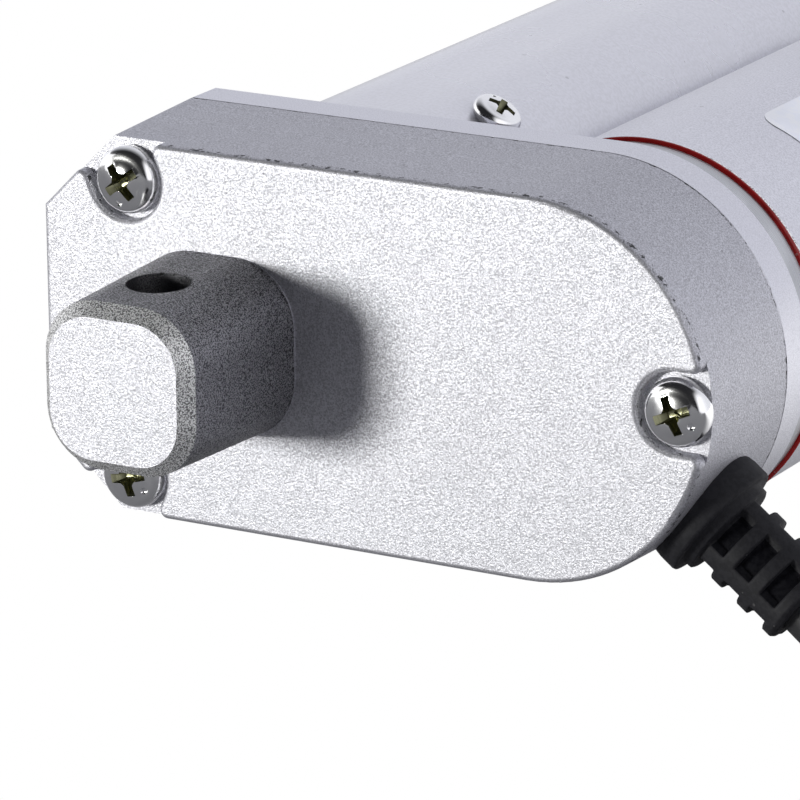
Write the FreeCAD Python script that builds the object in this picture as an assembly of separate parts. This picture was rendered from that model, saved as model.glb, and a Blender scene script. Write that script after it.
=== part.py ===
import FreeCAD
import Part
import math
import os

# Electric linear actuator, in millimetres. The origin is the centre of the rear pin hole.
# The rod runs out along +Y, the motor lies beside it along +X, and the pin holes run along Z.

Vec = FreeCAD.Vector
AXIS = Vec(0, 1, 0)

# What it does
stroke = 100.0
pin_hole_radius = 3.2

# Gear train, from the motor to the screw
motor_pinion_teeth = 14
idler_wheel_teeth = 48
second_module = 0.8
idler_pinion_teeth = 14
screw_gear_teeth = 28
pressure_angle = 20.0
tooth_thinning = 0.05
addendum_share = 0.85
dedendum_share = 1.2
idler_wheel_width = 4.0
screw_gear_width = 6.0
pinion_overhang = 0.3
wheel_gap = 0.9
stage_gap = 1.0
boss_gap = 0.3
plate_room = 1.1
wheel_room = 1.55

# Rear cover
bore_to_cover = 10.4
cover_wall = 3.0
cover_draft = 0.54
cover_edge = 0.6
tube_side = 20.5
end_lead = 0.4
corner_cut = 8.0

# Clevis block on the rear cover
clevis_base = 18.5
clevis_corner = 6.7
clevis_draft = 0.7
clevis_reach = 8.8
clevis_bevel_depth = 1.5
clevis_bevel_width = 1.3

# Screw heads, as shares of their own radius and height
head_top = 0.5
head_shoulder = 0.88
head_slope = 0.72
head_rim = 0.35
tip_chamfer = 0.4

# Cover screws and their pockets; the angle is the way that a corner pocket opens, from +X
cover_screw_radius = 2.0
cover_screw_length = 18.0
cover_head_radius = 3.5
cover_head_height = 2.5
corner_screw_x = -10.3
corner_screw_z = 15.4
corner_pocket_angle = 114.0
end_screw_reach = 15.8
pocket_radius = 4.1
pocket_depth = 1.5
pocket_flare = 0.9
pocket_wall = 1.8
column_wall = 1.8

# Idler pin and the hub that turns on it
idler_pin_radius = 2.0
idler_pin_seat = 1.8
idler_pin_grip = 3.0
idler_hub_radius = 4.2
idler_hub_wall = 2.0
gear_rim = 2.6
gear_dish = 1.2

# Front plate
plate_thickness = 5.2
plate_edge = 0.5
parting_edge = 0.2
collar_inset = 0.53
collar_height = 2.1
spigot_length = 22.0
shoulder_room = 2.0
shaft_room = 1.0

# Motor tube and its red gasket
gasket_thickness = 1.3
motor_room = 0.33
motor_tube_wall = 1.2
tube_gap = 0.97
motor_tube_length = 90.0
end_cap_thickness = 3.0
end_cap_insert = 6.0
end_cap_wall = 1.6
end_cap_edge = 1.0
tie_bolt_radius = 1.5
tie_bolt_grip = 5.0
tie_bolt_head = 2.3

# Outer tube of the rod
tube_corner = 11.5
tube_wall = 2.0

# Front cap, guide bush and wiper
cap_thickness = 5.0
cap_insert = 10.5
cap_side_wall = 1.4
bush_wall = 1.5
bush_stop = 1.0
wiper_depth = 3.5
wiper_lip = 3.0
wiper_rim = 1.0
wiper_edge = 0.8
wiper_groove = 1.2

# Small screws in the outer tube
tube_screw_radius = 1.5
tube_screw_length = 5.5
tube_head_radius = 2.75
tube_head_height = 1.8
tube_screw_angle = 57.0
rear_tube_screw = 18.3
front_tube_screw = 5.0

# Rod and nut
rod_radius = 10.0
rod_wall = 1.8
rod_end_reach = 10.0
rod_end_length = 18.5
rod_end_neck = 12.0
rod_flat_depth = 0.6
rod_end_edge = 1.0
rod_pin_radius = 1.25
nut_neck = 10.0
nut_start = 2.2
stop_gap = 1.1
nut_slot_width = 7.2
nut_slot_floor = 0.5
nut_ear_length = 2.0

# Lead screw, its bearing and its bush; the shares are of the bearing's section
screw_radius = 5.0
journal_radius = 4.0
screw_overrun = 2.4
screw_point = 1.5
shoulder_radius = 5.8
shoulder_length = 2.0
screw_bush_wall = 2.45
screw_bush_length = 6.0
screw_bush_flange = 1.2
screw_bush_lip = 1.5
spacer_wall = 1.6
bearing_outer_radius = 11.0
bearing_width = 7.0
ring_share = 0.3
ball_share = 0.2836
ball_count = 7
ball_flats = 5
cage_wall = 1.2
cage_inset = 0.6
retainer_thickness = 1.0
retainer_depth = 0.6
retainer_gap = 5.0
key_width = 2.5
key_height = 2.4
clip_thickness = 0.8
clip_height = 2.4
clip_depth = 0.5
clip_room = 1.0

# Motor
motor_radius = 17.9
motor_wall = 1.2
motor_length = 60.0
motor_flat_depth = 2.9
motor_boss_radius = 6.5
motor_boss_length = 4.5
motor_bush_radius = 4.0
motor_shaft_radius = 1.585
armature_gap = 0.5
armature_start = 12.0
armature_slots = 5
armature_slot_width = 2.6
slot_depth = 5.0
winding_inset = 1.6
winding_length = 5.0
magnet_height = 4.0
magnet_overhang = 4.0
magnet_half_angle = 48.0
commutator_radius = 4.6
commutator_length = 7.0
commutator_room = 3.8
brush_width = 3.2
end_bell_thickness = 5.0
terminal_reach = 10.0
terminal_thickness = 0.6
terminal_width = 4.8
terminal_inside = 5.0
terminal_outside = 6.0
motor_screw_circle = 12.5
motor_screw_radius = 1.5
motor_screw_length = 7.0
motor_head_radius = 2.7
motor_head_height = 1.8

# Limit switches
switch_gap = 0.7
strip_width = 6.0
strip_thickness = 0.8
switch_width = 5.0
switch_height = 3.4
switch_length = 9.8
plunger_radius = 0.8
plunger_reach = 0.7
plunger_length = 2.4
plunger_well = 2.6
plunger_gap = 0.3

# Strain relief; its reaches are measured out from the centre of the housing's round end
gland_angle = -38.0
gland_y = 19.1
gland_flange_radius = 6.5
gland_flange_height = 1.9
gland_flange_edge = 0.4
gland_flange_sink = 1.6
gland_neck_radius = 4.0
gland_barb_radius = 5.0
gland_barb_length = 1.6
gland_barb_gap = 0.3
gland_step_radius = 5.2
gland_step = 1.0
gland_rib_radius = 4.5
gland_core_radius = 3.5
gland_rib_pitch = 3.5
gland_rib_width = 1.6
gland_rib_count = 3
gland_web_width = 1.3
gland_web_root = 0.4
gland_web_inset = 0.25
gland_web_count = 4

# Cable, its coil on the surface below, and its two bare leads
cable_radius = 2.9
surface_z = -90.0
coil_radius = 33.0
coil_bundle = 18.2
coil_height = 11.8
coil_lane = 6.0
coil_bevel = 2.6
tie_angle = 16.0
tie_thickness = 1.0
tail_angle = 60.0
tail_lane = 3.0
tail_length = 48.5
lead_radius = 0.9
lead_length = 25.0
lead_fall = 2.0
cable_run_out = 28.0

# Clearances
running = 0.05
sliding = 0.1
fitted = 0.02
free_gap = 0.2

# Sizes that follow from what they hold
nut_length = nut_ear_length + 2 * (switch_length + free_gap)
tube_width = 2 * (rod_radius + bush_wall + cap_side_wall + sliding + tube_wall)
switch_stack = switch_gap + switch_height + strip_thickness
tube_height = 2 * (rod_radius + switch_stack + sliding + tube_wall)
tube_length = spigot_length + nut_start + nut_length + stroke + stop_gap + cap_insert
motor_tube_inner = motor_radius + motor_room
motor_tube_radius = motor_tube_inner + motor_tube_wall
motor_flat = motor_radius - motor_flat_depth
commutator_stack = winding_length + free_gap + commutator_length + commutator_room
armature_length = motor_length - armature_start - commutator_stack
magnet_length = armature_length + 2 * magnet_overhang
magnet_inner_radius = motor_radius - motor_wall - magnet_height
armature_radius = magnet_inner_radius - armature_gap
winding_radius = armature_radius - winding_inset
armature_hub_radius = armature_radius - slot_depth
collar_radius = motor_tube_radius - collar_inset
rod_end_flat = rod_radius - rod_flat_depth
bearing_section = bearing_outer_radius - journal_radius
bearing_ring_height = bearing_section * ring_share
ball_radius = bearing_section * ball_share

# The gear train spans from the rod to the motor, and the housing covers it
idler_x = second_module * (idler_pinion_teeth + screw_gear_teeth) / 2
motor_x = tube_width / 2 + tube_gap + motor_tube_radius
first_module = 2 * (motor_x - idler_x) / (motor_pinion_teeth + idler_wheel_teeth)
wheel_tip = first_module * (idler_wheel_teeth / 2 + addendum_share)
half_height = wheel_tip + wheel_room + cover_draft + cover_wall
gear_stack = wheel_gap + idler_wheel_width + stage_gap + screw_gear_width + pinion_overhang
cover_depth = cover_wall + gear_stack + boss_gap + plate_room

# Places along the rod's axis
cover_face = bore_to_cover
cavity_floor = cover_face + cover_wall
parting = cover_face + cover_depth
plate_front = parting + plate_thickness
motor_face = plate_front + collar_height
motor_tube_start = motor_face + gasket_thickness
motor_tube_end = motor_tube_start + motor_tube_length
wheel_start = cavity_floor + wheel_gap
wheel_end = wheel_start + idler_wheel_width
screw_gear_start = wheel_end + stage_gap
screw_gear_end = screw_gear_start + screw_gear_width
idler_end = screw_gear_end + pinion_overhang
clip_end = screw_gear_start + 2 * clip_thickness
cover_screw_seat = cover_face + pocket_depth
retainer_start = parting + plate_edge
bearing_start = retainer_start + retainer_thickness + sliding
bearing_end = bearing_start + bearing_width
spigot_end = plate_front + spigot_length
tube_end = plate_front + tube_length
cap_end = tube_end + cap_thickness
cap_start = tube_end - cap_insert
nut_rear = spigot_end + nut_start
nut_front = nut_rear + nut_length
ear_start = nut_rear + (nut_length - nut_ear_length) / 2
rod_bore_y = cap_end + rod_end_reach
rod_tip = rod_bore_y + rod_end_reach
rod_head = rod_tip - rod_end_length
screw_tip = nut_front + stroke - screw_overrun
armature_core_start = motor_face + armature_start
armature_core_end = armature_core_start + armature_length
commutator_start = armature_core_end + winding_length + free_gap
end_bell_start = motor_face + motor_length
rear_plunger_tip = ear_start - plunger_gap
front_plunger_tip = ear_start + nut_ear_length + stroke + plunger_gap

# Places across it
round_x = motor_x - end_lead
cover_screws_at = [
    (corner_screw_x, corner_screw_z),
    (corner_screw_x, -corner_screw_z),
    (motor_x + end_screw_reach, 0),
]
tie_bolt_z = (motor_flat + motor_tube_inner) / 2
clip_outer = journal_radius - clip_depth + clip_height
screw_bush_outer = screw_radius + screw_bush_wall
gland_base = half_height - cover_draft * (parting - gland_y) / cover_depth
gland_tip = gland_base + gland_flange_height + gland_step + gland_rib_count * gland_rib_pitch
coil_base = surface_z + tie_thickness
strip_z = tube_height / 2 - tube_wall - sliding - strip_thickness / 2
switch_z = strip_z - (strip_thickness + switch_height) / 2


def disc(x, z, radius, start, end):
    return Part.makeCylinder(radius, end - start, Vec(x, start, z), AXIS)


def ring(x, z, outer, inner, start, end):
    return disc(x, z, outer, start, end).cut(disc(x, z, inner, start - 1, end + 1))


def turned(profile, x=0, z=0):
    # A closed profile of (radius, place) points, turned about an axis along Y
    points = [Vec(x + radius, place, z) for radius, place in profile]
    face = Part.Face(Part.makePolygon(points + [points[0]]))
    return face.revolve(Vec(x, 0, z), AXIS, 360)


def block(x, y, z, width, length, height):
    # A box centred on x and z that starts at y
    return Part.makeBox(width, length, height, Vec(x - width / 2, y, z - height / 2))


def rounded_outline(width, height, corner, y):
    # A rounded rectangle centred on the rod's axis
    x, z, r = width / 2, height / 2, corner
    turn = r * math.sqrt(0.5)
    corners = [(1, 1), (-1, 1), (-1, -1), (1, -1)]
    edges = []
    last = None
    for number, (sx, sz) in enumerate(corners):
        centre = Vec(sx * (x - r), y, sz * (z - r))
        along_x = centre + Vec(sx * r, 0, 0)
        along_z = centre + Vec(0, 0, sz * r)
        start, end = (along_x, along_z) if number % 2 == 0 else (along_z, along_x)
        middle = centre + Vec(sx * turn, 0, sz * turn)
        if last is not None:
            edges.append(Part.LineSegment(last, start).toShape())
        else:
            first = start
        edges.append(Part.Arc(start, middle, end).toShape())
        last = end
    edges.append(Part.LineSegment(last, first).toShape())
    return Part.Wire(edges)


def prism(outline, length):
    return Part.Face(outline).extrude(Vec(0, length, 0))


def tube_profile(inset, start, end):
    outline = rounded_outline(tube_width - 2 * inset, tube_height - 2 * inset, tube_corner - inset, start)
    return prism(outline, end - start)


def housing_outline(inset, y):
    # A bar with two cut corners at the rod and a half-round end at the motor
    left = -tube_side + inset
    top = half_height - inset
    cut = corner_cut - inset * (2 - math.sqrt(2))
    corners = [
        Vec(round_x, y, -top),
        Vec(left + cut, y, -top),
        Vec(left, y, -top + cut),
        Vec(left, y, top - cut),
        Vec(left + cut, y, top),
        Vec(round_x, y, top),
    ]
    edges = [Part.LineSegment(a, b).toShape() for a, b in zip(corners, corners[1:])]
    edges.append(Part.Arc(corners[-1], Vec(round_x + top, y, 0), corners[0]).toShape())
    return Part.Wire(edges)


def housing_body(sections):
    # A ruled body through (inset, place) sections of the housing's outline
    return Part.makeLoft([housing_outline(inset, y) for inset, y in sections], True, True)


def pan_screw(radius, length, head_radius, head_height):
    # Along +Y: the head's underside is at 0, its crown behind it, the shank ahead of it
    profile = [
        (0, -head_height),
        (head_radius * head_top, -head_height),
        (head_radius * head_shoulder, -head_height * head_slope),
        (head_radius, -head_height * head_rim),
        (head_radius, 0),
        (radius, 0),
        (radius, length - tip_chamfer),
        (radius - tip_chamfer, length),
        (0, length),
    ]
    return turned(profile)


def aimed(shape, position, direction):
    # Turn a piece made along +Y to a direction and set it at a position
    moved = shape.copy()
    moved.Placement = FreeCAD.Placement(position, FreeCAD.Rotation(AXIS, direction))
    return moved


def gear(module, teeth, x, start, end, phase):
    # Involute teeth; phase is the angle of one tooth's middle, in degrees, from +X
    pitch = module * teeth / 2
    base = pitch * math.cos(math.radians(pressure_angle))
    tip = pitch + addendum_share * module
    root = pitch - dedendum_share * module
    half_tooth = math.pi / (2 * teeth) - tooth_thinning / pitch
    flank_start = max(base, root)

    def spread(radius):
        angle = math.acos(min(base / radius, 1))
        return math.tan(angle) - angle

    def at(radius, angle):
        return Vec(x + radius * math.cos(angle), start, radius * math.sin(angle))

    radii = [flank_start, (flank_start + tip) / 2, tip]
    offsets = [half_tooth + spread(pitch) - spread(radius) for radius in radii]
    edges = []
    for tooth in range(teeth):
        middle = math.radians(phase) + 2 * math.pi * tooth / teeth
        following = middle + 2 * math.pi / teeth
        rising = [at(radius, middle - offset) for radius, offset in zip(radii, offsets)]
        falling = [at(radius, middle + offset) for radius, offset in zip(radii, offsets)][::-1]
        foot_in = at(root, middle - offsets[0])
        foot_out = at(root, middle + offsets[0])
        next_foot = at(root, following - offsets[0])
        if root < base:
            edges.append(Part.LineSegment(foot_in, rising[0]).toShape())
        edges += [Part.LineSegment(a, b).toShape() for a, b in zip(rising, rising[1:])]
        edges.append(Part.LineSegment(rising[-1], falling[0]).toShape())
        edges += [Part.LineSegment(a, b).toShape() for a, b in zip(falling, falling[1:])]
        if root < base:
            edges.append(Part.LineSegment(falling[-1], foot_out).toShape())
        edges.append(Part.LineSegment(foot_out, next_foot).toShape())
    return prism(Part.Wire(edges), end - start)


def direction(angle):
    # The way across the rod's axis that an angle in degrees from +X gives
    return Vec(math.cos(math.radians(angle)), 0, math.sin(math.radians(angle)))


def pocket(x, z, angle):
    # The recess round a cover screw: half round inside, and open to the side that the angle gives
    centre = Vec(x, cover_face - 1, z)
    out = direction(angle)
    side = Vec(out.z, 0, -out.x) * pocket_radius
    outside = out * (pocket_radius * 3)
    corners = [centre + side, centre + side + outside, centre - side + outside, centre - side]
    edges = [Part.LineSegment(a, b).toShape() for a, b in zip(corners, corners[1:])]
    edges.append(Part.Arc(corners[-1], centre - out * pocket_radius, corners[0]).toShape())
    return prism(Part.Wire(edges), cover_screw_seat - cover_face + 1)


def mouth_edges(cover):
    # The edges along Y where the pockets' straight walls leave the housing
    found = []
    for edge in cover.Edges:
        box = edge.BoundBox
        spans = abs(box.YMin - cover_face) < fitted and abs(box.YMax - cover_screw_seat) < fitted
        reaches = [math.hypot(box.Center.x - x, box.Center.z - z) for x, z in cover_screws_at]
        if spans and min(reaches) > pocket_radius + fitted:
            found.append(edge)
    return found


def pin_hole(y, half_length):
    return Part.makeCylinder(pin_hole_radius, half_length * 2, Vec(0, y, -half_length), Vec(0, 0, 1))


def clevis_outline(inset, y):
    side = clevis_base - 2 * inset
    return rounded_outline(side, side, clevis_corner - inset, y)


def clevis_block():
    # The drafted rear block, with a bevel round its face
    sections = [
        clevis_outline(0, cover_face + cover_wall / 2),
        clevis_outline(clevis_draft, -clevis_reach + clevis_bevel_depth),
        clevis_outline(clevis_draft + clevis_bevel_width, -clevis_reach),
    ]
    return Part.makeLoft(sections, True, True)


def gland_place(reach):
    return Vec(round_x, gland_y, 0) + direction(gland_angle) * reach


def gland_hole():
    start = gland_place(half_height / 2)
    return Part.makeCylinder(gland_neck_radius + running, half_height, start, direction(gland_angle))


def cover_cavity(end):
    return housing_body([(cover_draft + cover_wall, cavity_floor), (cover_wall, end)])


def rear_cover():
    cover = housing_body([(cover_draft, cover_face), (0, parting)])
    for (x, z), angle in zip(cover_screws_at, (corner_pocket_angle, -corner_pocket_angle, 0)):
        cover = cover.cut(pocket(x, z, angle))
    cover = cover.makeFillet(pocket_flare, mouth_edges(cover))
    cover = soften_rear_edges(cover)
    cover = cover.fuse(clevis_block())
    cavity = cover_cavity(parting + 1)
    for x, z in cover_screws_at:
        column = cover_screw_radius + free_gap + column_wall
        seat_end = cover_screw_seat + pocket_wall
        cavity = cavity.cut(disc(x, z, pocket_radius + pocket_wall, cavity_floor - 1, seat_end))
        cavity = cavity.cut(disc(x, z, column, cavity_floor - 1, parting + 2))
    boss = idler_pin_radius + column_wall
    cavity = cavity.cut(disc(idler_x, 0, boss, cavity_floor - 1, wheel_start - boss_gap))
    cover = cover.cut(cavity)
    for x, z in cover_screws_at:
        cover = cover.cut(disc(x, z, cover_screw_radius + free_gap, cover_face, parting + 1))
    cover = cover.cut(disc(idler_x, 0, idler_pin_radius, cavity_floor - idler_pin_seat, parting))
    return cover.cut(pin_hole(0, clevis_base)).cut(gland_hole())


def soften_rear_edges(cover):
    # Round the rear face's outer edge, pockets included
    rear = min(cover.Faces, key=lambda face: face.CenterOfMass.y)
    return cover.makeFillet(cover_edge, rear.OuterWire.Edges)


def front_plate():
    plate = housing_body(
        [
            (parting_edge, parting),
            (0, parting + parting_edge),
            (0, plate_front - plate_edge),
            (plate_edge, plate_front),
        ]
    )
    plate = plate.fuse(disc(motor_x, 0, collar_radius, plate_front - 1, motor_face))
    plate = plate.fuse(tube_profile(tube_wall + sliding, plate_front - 1, spigot_end))
    plate = plate.fuse(disc(idler_x, 0, idler_pin_radius + column_wall, idler_end + boss_gap, parting + 1))
    plate = plate.cut(disc(0, 0, bearing_outer_radius, parting - 1, bearing_end))
    groove_end = retainer_start + retainer_thickness + sliding
    plate = plate.cut(disc(0, 0, bearing_outer_radius + retainer_depth, retainer_start, groove_end))
    plate = plate.cut(disc(0, 0, shoulder_radius + shoulder_room, bearing_end - 1, spigot_end + 1))
    plate = plate.cut(disc(0, 0, screw_bush_outer, spigot_end - screw_bush_length, spigot_end + 1))
    plate = plate.cut(disc(idler_x, 0, idler_pin_radius, idler_end, parting + idler_pin_grip))
    boss_start = motor_face - motor_boss_length - free_gap
    plate = plate.cut(disc(motor_x, 0, motor_boss_radius + free_gap, boss_start, motor_face + 1))
    plate = plate.cut(disc(motor_x, 0, motor_shaft_radius + shaft_room, parting - 1, motor_face))
    for x, z in cover_screws_at:
        tip = cover_screw_seat + cover_screw_length
        plate = plate.cut(disc(x, z, cover_screw_radius, parting - 1, tip + free_gap))
    for x, z in motor_screws_at():
        plate = plate.cut(disc(x, z, motor_screw_radius + free_gap, parting - 1, motor_face + 1))
    for sign in (1, -1):
        bolt_end = motor_face - tie_bolt_grip - free_gap
        plate = plate.cut(disc(motor_x, sign * tie_bolt_z, tie_bolt_radius, bolt_end, motor_face + 1))
        plate = plate.cut(tube_screw_hole(plate_front + rear_tube_screw, sign, tube_screw_radius))
    return plate


def motor_screws_at():
    reach = motor_screw_circle * math.sqrt(0.5)
    return [(motor_x + reach, reach), (motor_x - reach, -reach)]


def cover_screws():
    screw = pan_screw(cover_screw_radius, cover_screw_length, cover_head_radius, cover_head_height)
    return [aimed(screw, Vec(x, cover_screw_seat, z), AXIS) for x, z in cover_screws_at]


def tube_screw_line(sign):
    # The point on the tube's rounded corner and the way out of it
    out = direction(tube_screw_angle) * sign
    centre = Vec(tube_width / 2 - tube_corner, 0, tube_height / 2 - tube_corner) * sign
    return centre + out * tube_corner, out


def tube_screw_hole(y, sign, radius):
    spot, out = tube_screw_line(sign)
    spot = spot + Vec(0, y, 0)
    start = spot + out
    return Part.makeCylinder(radius, tube_screw_length + 1 + free_gap, start, out * -1)


def tube_screw_places():
    rows = (plate_front + rear_tube_screw, tube_end - front_tube_screw)
    return [(y, sign) for y in rows for sign in (1, -1)]


def tube_screws():
    screw = pan_screw(tube_screw_radius, tube_screw_length, tube_head_radius, tube_head_height)
    placed = []
    for y, sign in tube_screw_places():
        spot, out = tube_screw_line(sign)
        placed.append(aimed(screw, spot + Vec(0, y, 0), out * -1))
    return placed


def outer_tube():
    tube = tube_profile(0, plate_front, tube_end)
    tube = tube.cut(tube_profile(tube_wall, plate_front - 1, tube_end + 1))
    for y, sign in tube_screw_places():
        tube = tube.cut(tube_screw_hole(y, sign, tube_screw_radius + sliding))
    return tube


def front_cap():
    cap = tube_profile(0, tube_end, cap_end).fuse(tube_profile(tube_wall + sliding, cap_start, tube_end + 1))
    cap = cap.cut(disc(0, 0, rod_radius + bush_wall, cap_start + bush_stop, cap_end))
    cap = cap.cut(disc(0, 0, rod_radius + 2 * free_gap, cap_start - 1, cap_end))
    cap = cap.cut(disc(0, 0, rod_radius + wiper_lip, cap_end - wiper_depth, cap_end + 1))
    for y, sign in tube_screw_places()[2:]:
        cap = cap.cut(tube_screw_hole(y, sign, tube_screw_radius))
    return cap


def rod_bush():
    start = cap_start + bush_stop
    return ring(0, 0, rod_radius + bush_wall, rod_radius + running, start, cap_end - wiper_depth)


def rod_wiper():
    # A rubber ring with a groove behind the lip that scrapes the rod
    start = cap_end - wiper_depth
    inner = rod_radius + running
    outer = rod_radius + wiper_lip
    profile = [
        (outer, start),
        (outer, cap_end),
        (outer - wiper_rim, cap_end),
        (inner + wiper_edge, cap_end - wiper_groove),
        (inner, cap_end),
        (inner, start),
    ]
    return turned(profile)


def motor_gasket():
    return ring(motor_x, 0, motor_tube_radius, motor_tube_inner, motor_face, motor_tube_start)


def motor_tube():
    return ring(motor_x, 0, motor_tube_radius, motor_tube_inner, motor_tube_start, motor_tube_end)


def motor_end_cap():
    end = motor_tube_end + end_cap_thickness
    inner = motor_tube_inner - fitted
    start = motor_tube_end - end_cap_insert
    profile = [
        (0, motor_tube_end - end_cap_thickness),
        (inner - end_cap_wall, motor_tube_end - end_cap_thickness),
        (inner - end_cap_wall, start),
        (inner, start),
        (inner, motor_tube_end),
        (motor_tube_radius, motor_tube_end),
        (motor_tube_radius, end - end_cap_edge),
        (motor_tube_radius - end_cap_edge, end),
        (0, end),
    ]
    cap = turned(profile, motor_x)
    for sign in (1, -1):
        z = sign * tie_bolt_z
        cap = cap.cut(disc(motor_x, z, tie_bolt_radius + free_gap, start - 1, end + 1))
    return cap


def tie_bolts():
    seat = motor_tube_end + end_cap_thickness
    length = seat - motor_face + tie_bolt_grip
    bolt = pan_screw(tie_bolt_radius, length, tie_bolt_head, tie_bolt_radius)
    return [aimed(bolt, Vec(motor_x, seat, sign * tie_bolt_z), AXIS * -1) for sign in (1, -1)]


def idler_pin():
    return disc(idler_x, 0, idler_pin_radius, cavity_floor - idler_pin_seat, parting + idler_pin_grip)


def idler_wheel():
    # Moulded wheel: rim and hub with a thin web between them, both sides dished
    wheel = gear(first_module, idler_wheel_teeth, idler_x, wheel_start, wheel_end, 180 / idler_wheel_teeth)
    rim = first_module * idler_wheel_teeth / 2 - gear_rim
    hub = idler_hub_radius + idler_hub_wall
    for start in (wheel_start - 1, wheel_end - gear_dish):
        wheel = wheel.cut(ring(idler_x, 0, rim, hub, start, start + 1 + gear_dish))
    return wheel.cut(disc(idler_x, 0, idler_hub_radius + fitted, wheel_start - 1, wheel_end + 1))


def idler_pinion():
    toothed = gear(second_module, idler_pinion_teeth, idler_x, wheel_end, idler_end, 180)
    hub = disc(idler_x, 0, idler_hub_radius, wheel_start, wheel_end + 1)
    bore = disc(idler_x, 0, idler_pin_radius + running, wheel_start - 1, idler_end + 1)
    return toothed.fuse(hub).cut(bore)


def motor_pinion():
    start = wheel_start - pinion_overhang
    toothed = gear(first_module, motor_pinion_teeth, motor_x, start, wheel_end + pinion_overhang, 180)
    return toothed.cut(disc(motor_x, 0, motor_shaft_radius + fitted, start - 1, wheel_end + 2))


def screw_gear():
    phase = 180 / screw_gear_teeth
    toothed = gear(second_module, screw_gear_teeth, 0, screw_gear_start, screw_gear_end, phase)
    hub = clip_outer + clip_room
    toothed = toothed.cut(disc(0, 0, hub, screw_gear_start - 1, clip_end))
    rim = second_module * screw_gear_teeth / 2 - gear_rim
    toothed = toothed.cut(ring(0, 0, rim, hub, screw_gear_end - gear_dish, screw_gear_end + 1))
    toothed = toothed.cut(disc(0, 0, journal_radius + fitted, screw_gear_start - 1, screw_gear_end + 1))
    width = key_width + 2 * fitted
    height = key_height + 2 * fitted
    return toothed.cut(block(0, clip_end - 1, journal_radius, width, screw_gear_width, height))


def screw_key():
    start = clip_end + free_gap
    return block(0, start, journal_radius, key_width, screw_gear_end - start, key_height)


def screw_clip():
    # Open retaining ring in the screw's groove
    clip = ring(0, 0, clip_outer, journal_radius - clip_depth, clip_end - clip_thickness, clip_end)
    gap = block(0, clip_end - clip_thickness - 1, -clip_outer, key_width, clip_thickness + 2, clip_outer * 2)
    return clip.cut(gap)


def lead_screw():
    groove = journal_radius - clip_depth
    start = screw_gear_start + free_gap
    profile = [
        (0, start),
        (journal_radius - tip_chamfer, start),
        (journal_radius, start + tip_chamfer),
        (journal_radius, clip_end - clip_thickness - fitted),
        (groove, clip_end - clip_thickness - fitted),
        (groove, clip_end + fitted),
        (journal_radius, clip_end + fitted),
        (journal_radius, bearing_end),
        (shoulder_radius, bearing_end),
        (shoulder_radius, bearing_end + shoulder_length),
        (screw_radius, bearing_end + shoulder_length),
        (screw_radius, screw_tip - screw_point),
        (screw_radius - screw_point, screw_tip),
        (0, screw_tip),
    ]
    screw = turned(profile)
    start = clip_end + free_gap
    return screw.cut(block(0, start, journal_radius, key_width, screw_gear_end - start, key_height))


def screw_spacer():
    return ring(0, 0, journal_radius + spacer_wall, journal_radius + fitted, screw_gear_end, bearing_start)


def screw_bush():
    inner = screw_radius + running
    flange = screw_bush_outer + screw_bush_lip
    profile = [
        (inner, spigot_end - screw_bush_length),
        (screw_bush_outer, spigot_end - screw_bush_length),
        (screw_bush_outer, spigot_end),
        (flange, spigot_end),
        (flange, spigot_end + screw_bush_flange),
        (inner, spigot_end + screw_bush_flange),
    ]
    return turned(profile)


def ball_path_radius():
    return (journal_radius + bearing_outer_radius) / 2


def raceway():
    # A groove of eight flats that the balls run in
    middle = (bearing_start + bearing_end) / 2
    reach = (ball_radius + running) / math.cos(math.pi / 8)
    angles = [math.pi / 8 + math.pi / 4 * number for number in range(8)]
    return turned([(ball_path_radius() + reach * math.cos(a), middle + reach * math.sin(a)) for a in angles])


def bearing_outer_ring():
    inner = bearing_outer_radius - bearing_ring_height
    return ring(0, 0, bearing_outer_radius - fitted, inner, bearing_start, bearing_end).cut(raceway())


def bearing_inner_ring():
    outer = journal_radius + bearing_ring_height
    return ring(0, 0, outer, journal_radius + fitted, bearing_start, bearing_end).cut(raceway())


def ball_centres():
    middle = (bearing_start + bearing_end) / 2
    steps = [2 * math.pi * number / ball_count for number in range(ball_count)]
    return [Vec(ball_path_radius() * math.cos(a), middle, ball_path_radius() * math.sin(a)) for a in steps]


def bearing_balls():
    # Balls with a few turned flats each
    angles = [math.radians(180 * number / ball_flats - 90) for number in range(ball_flats + 1)]
    ball = turned([(ball_radius * math.cos(a), ball_radius * math.sin(a)) for a in angles])
    return [aimed(ball, centre, AXIS) for centre in ball_centres()]


def bearing_cage():
    # Crown cage: a ring behind the balls with an open pocket for each
    middle = (bearing_start + bearing_end) / 2
    outer = ball_path_radius() + cage_wall / 2
    cage = ring(0, 0, outer, outer - cage_wall, bearing_start + cage_inset, middle + ball_radius / 2)
    for centre in ball_centres():
        out = Vec(centre.x, 0, centre.z)
        cage = cage.cut(Part.makeCylinder(ball_radius + running, outer + 1, Vec(0, middle, 0), out))
    return cage


def bearing_retainer():
    outer = bearing_outer_radius + retainer_depth - sliding
    inner = bearing_outer_radius - bearing_ring_height
    clip = ring(0, 0, outer, inner, retainer_start, retainer_start + retainer_thickness)
    gap = block(0, retainer_start - 1, -outer, retainer_gap, retainer_thickness + 2, outer)
    return clip.cut(gap)


def flatted(radius, flat, start, end):
    # A round body of the motor with two flats, above and below its axis
    slab = block(motor_x, start, 0, 2 * radius + 2, end - start, 2 * flat)
    return disc(motor_x, 0, radius, start, end).common(slab)


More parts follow.
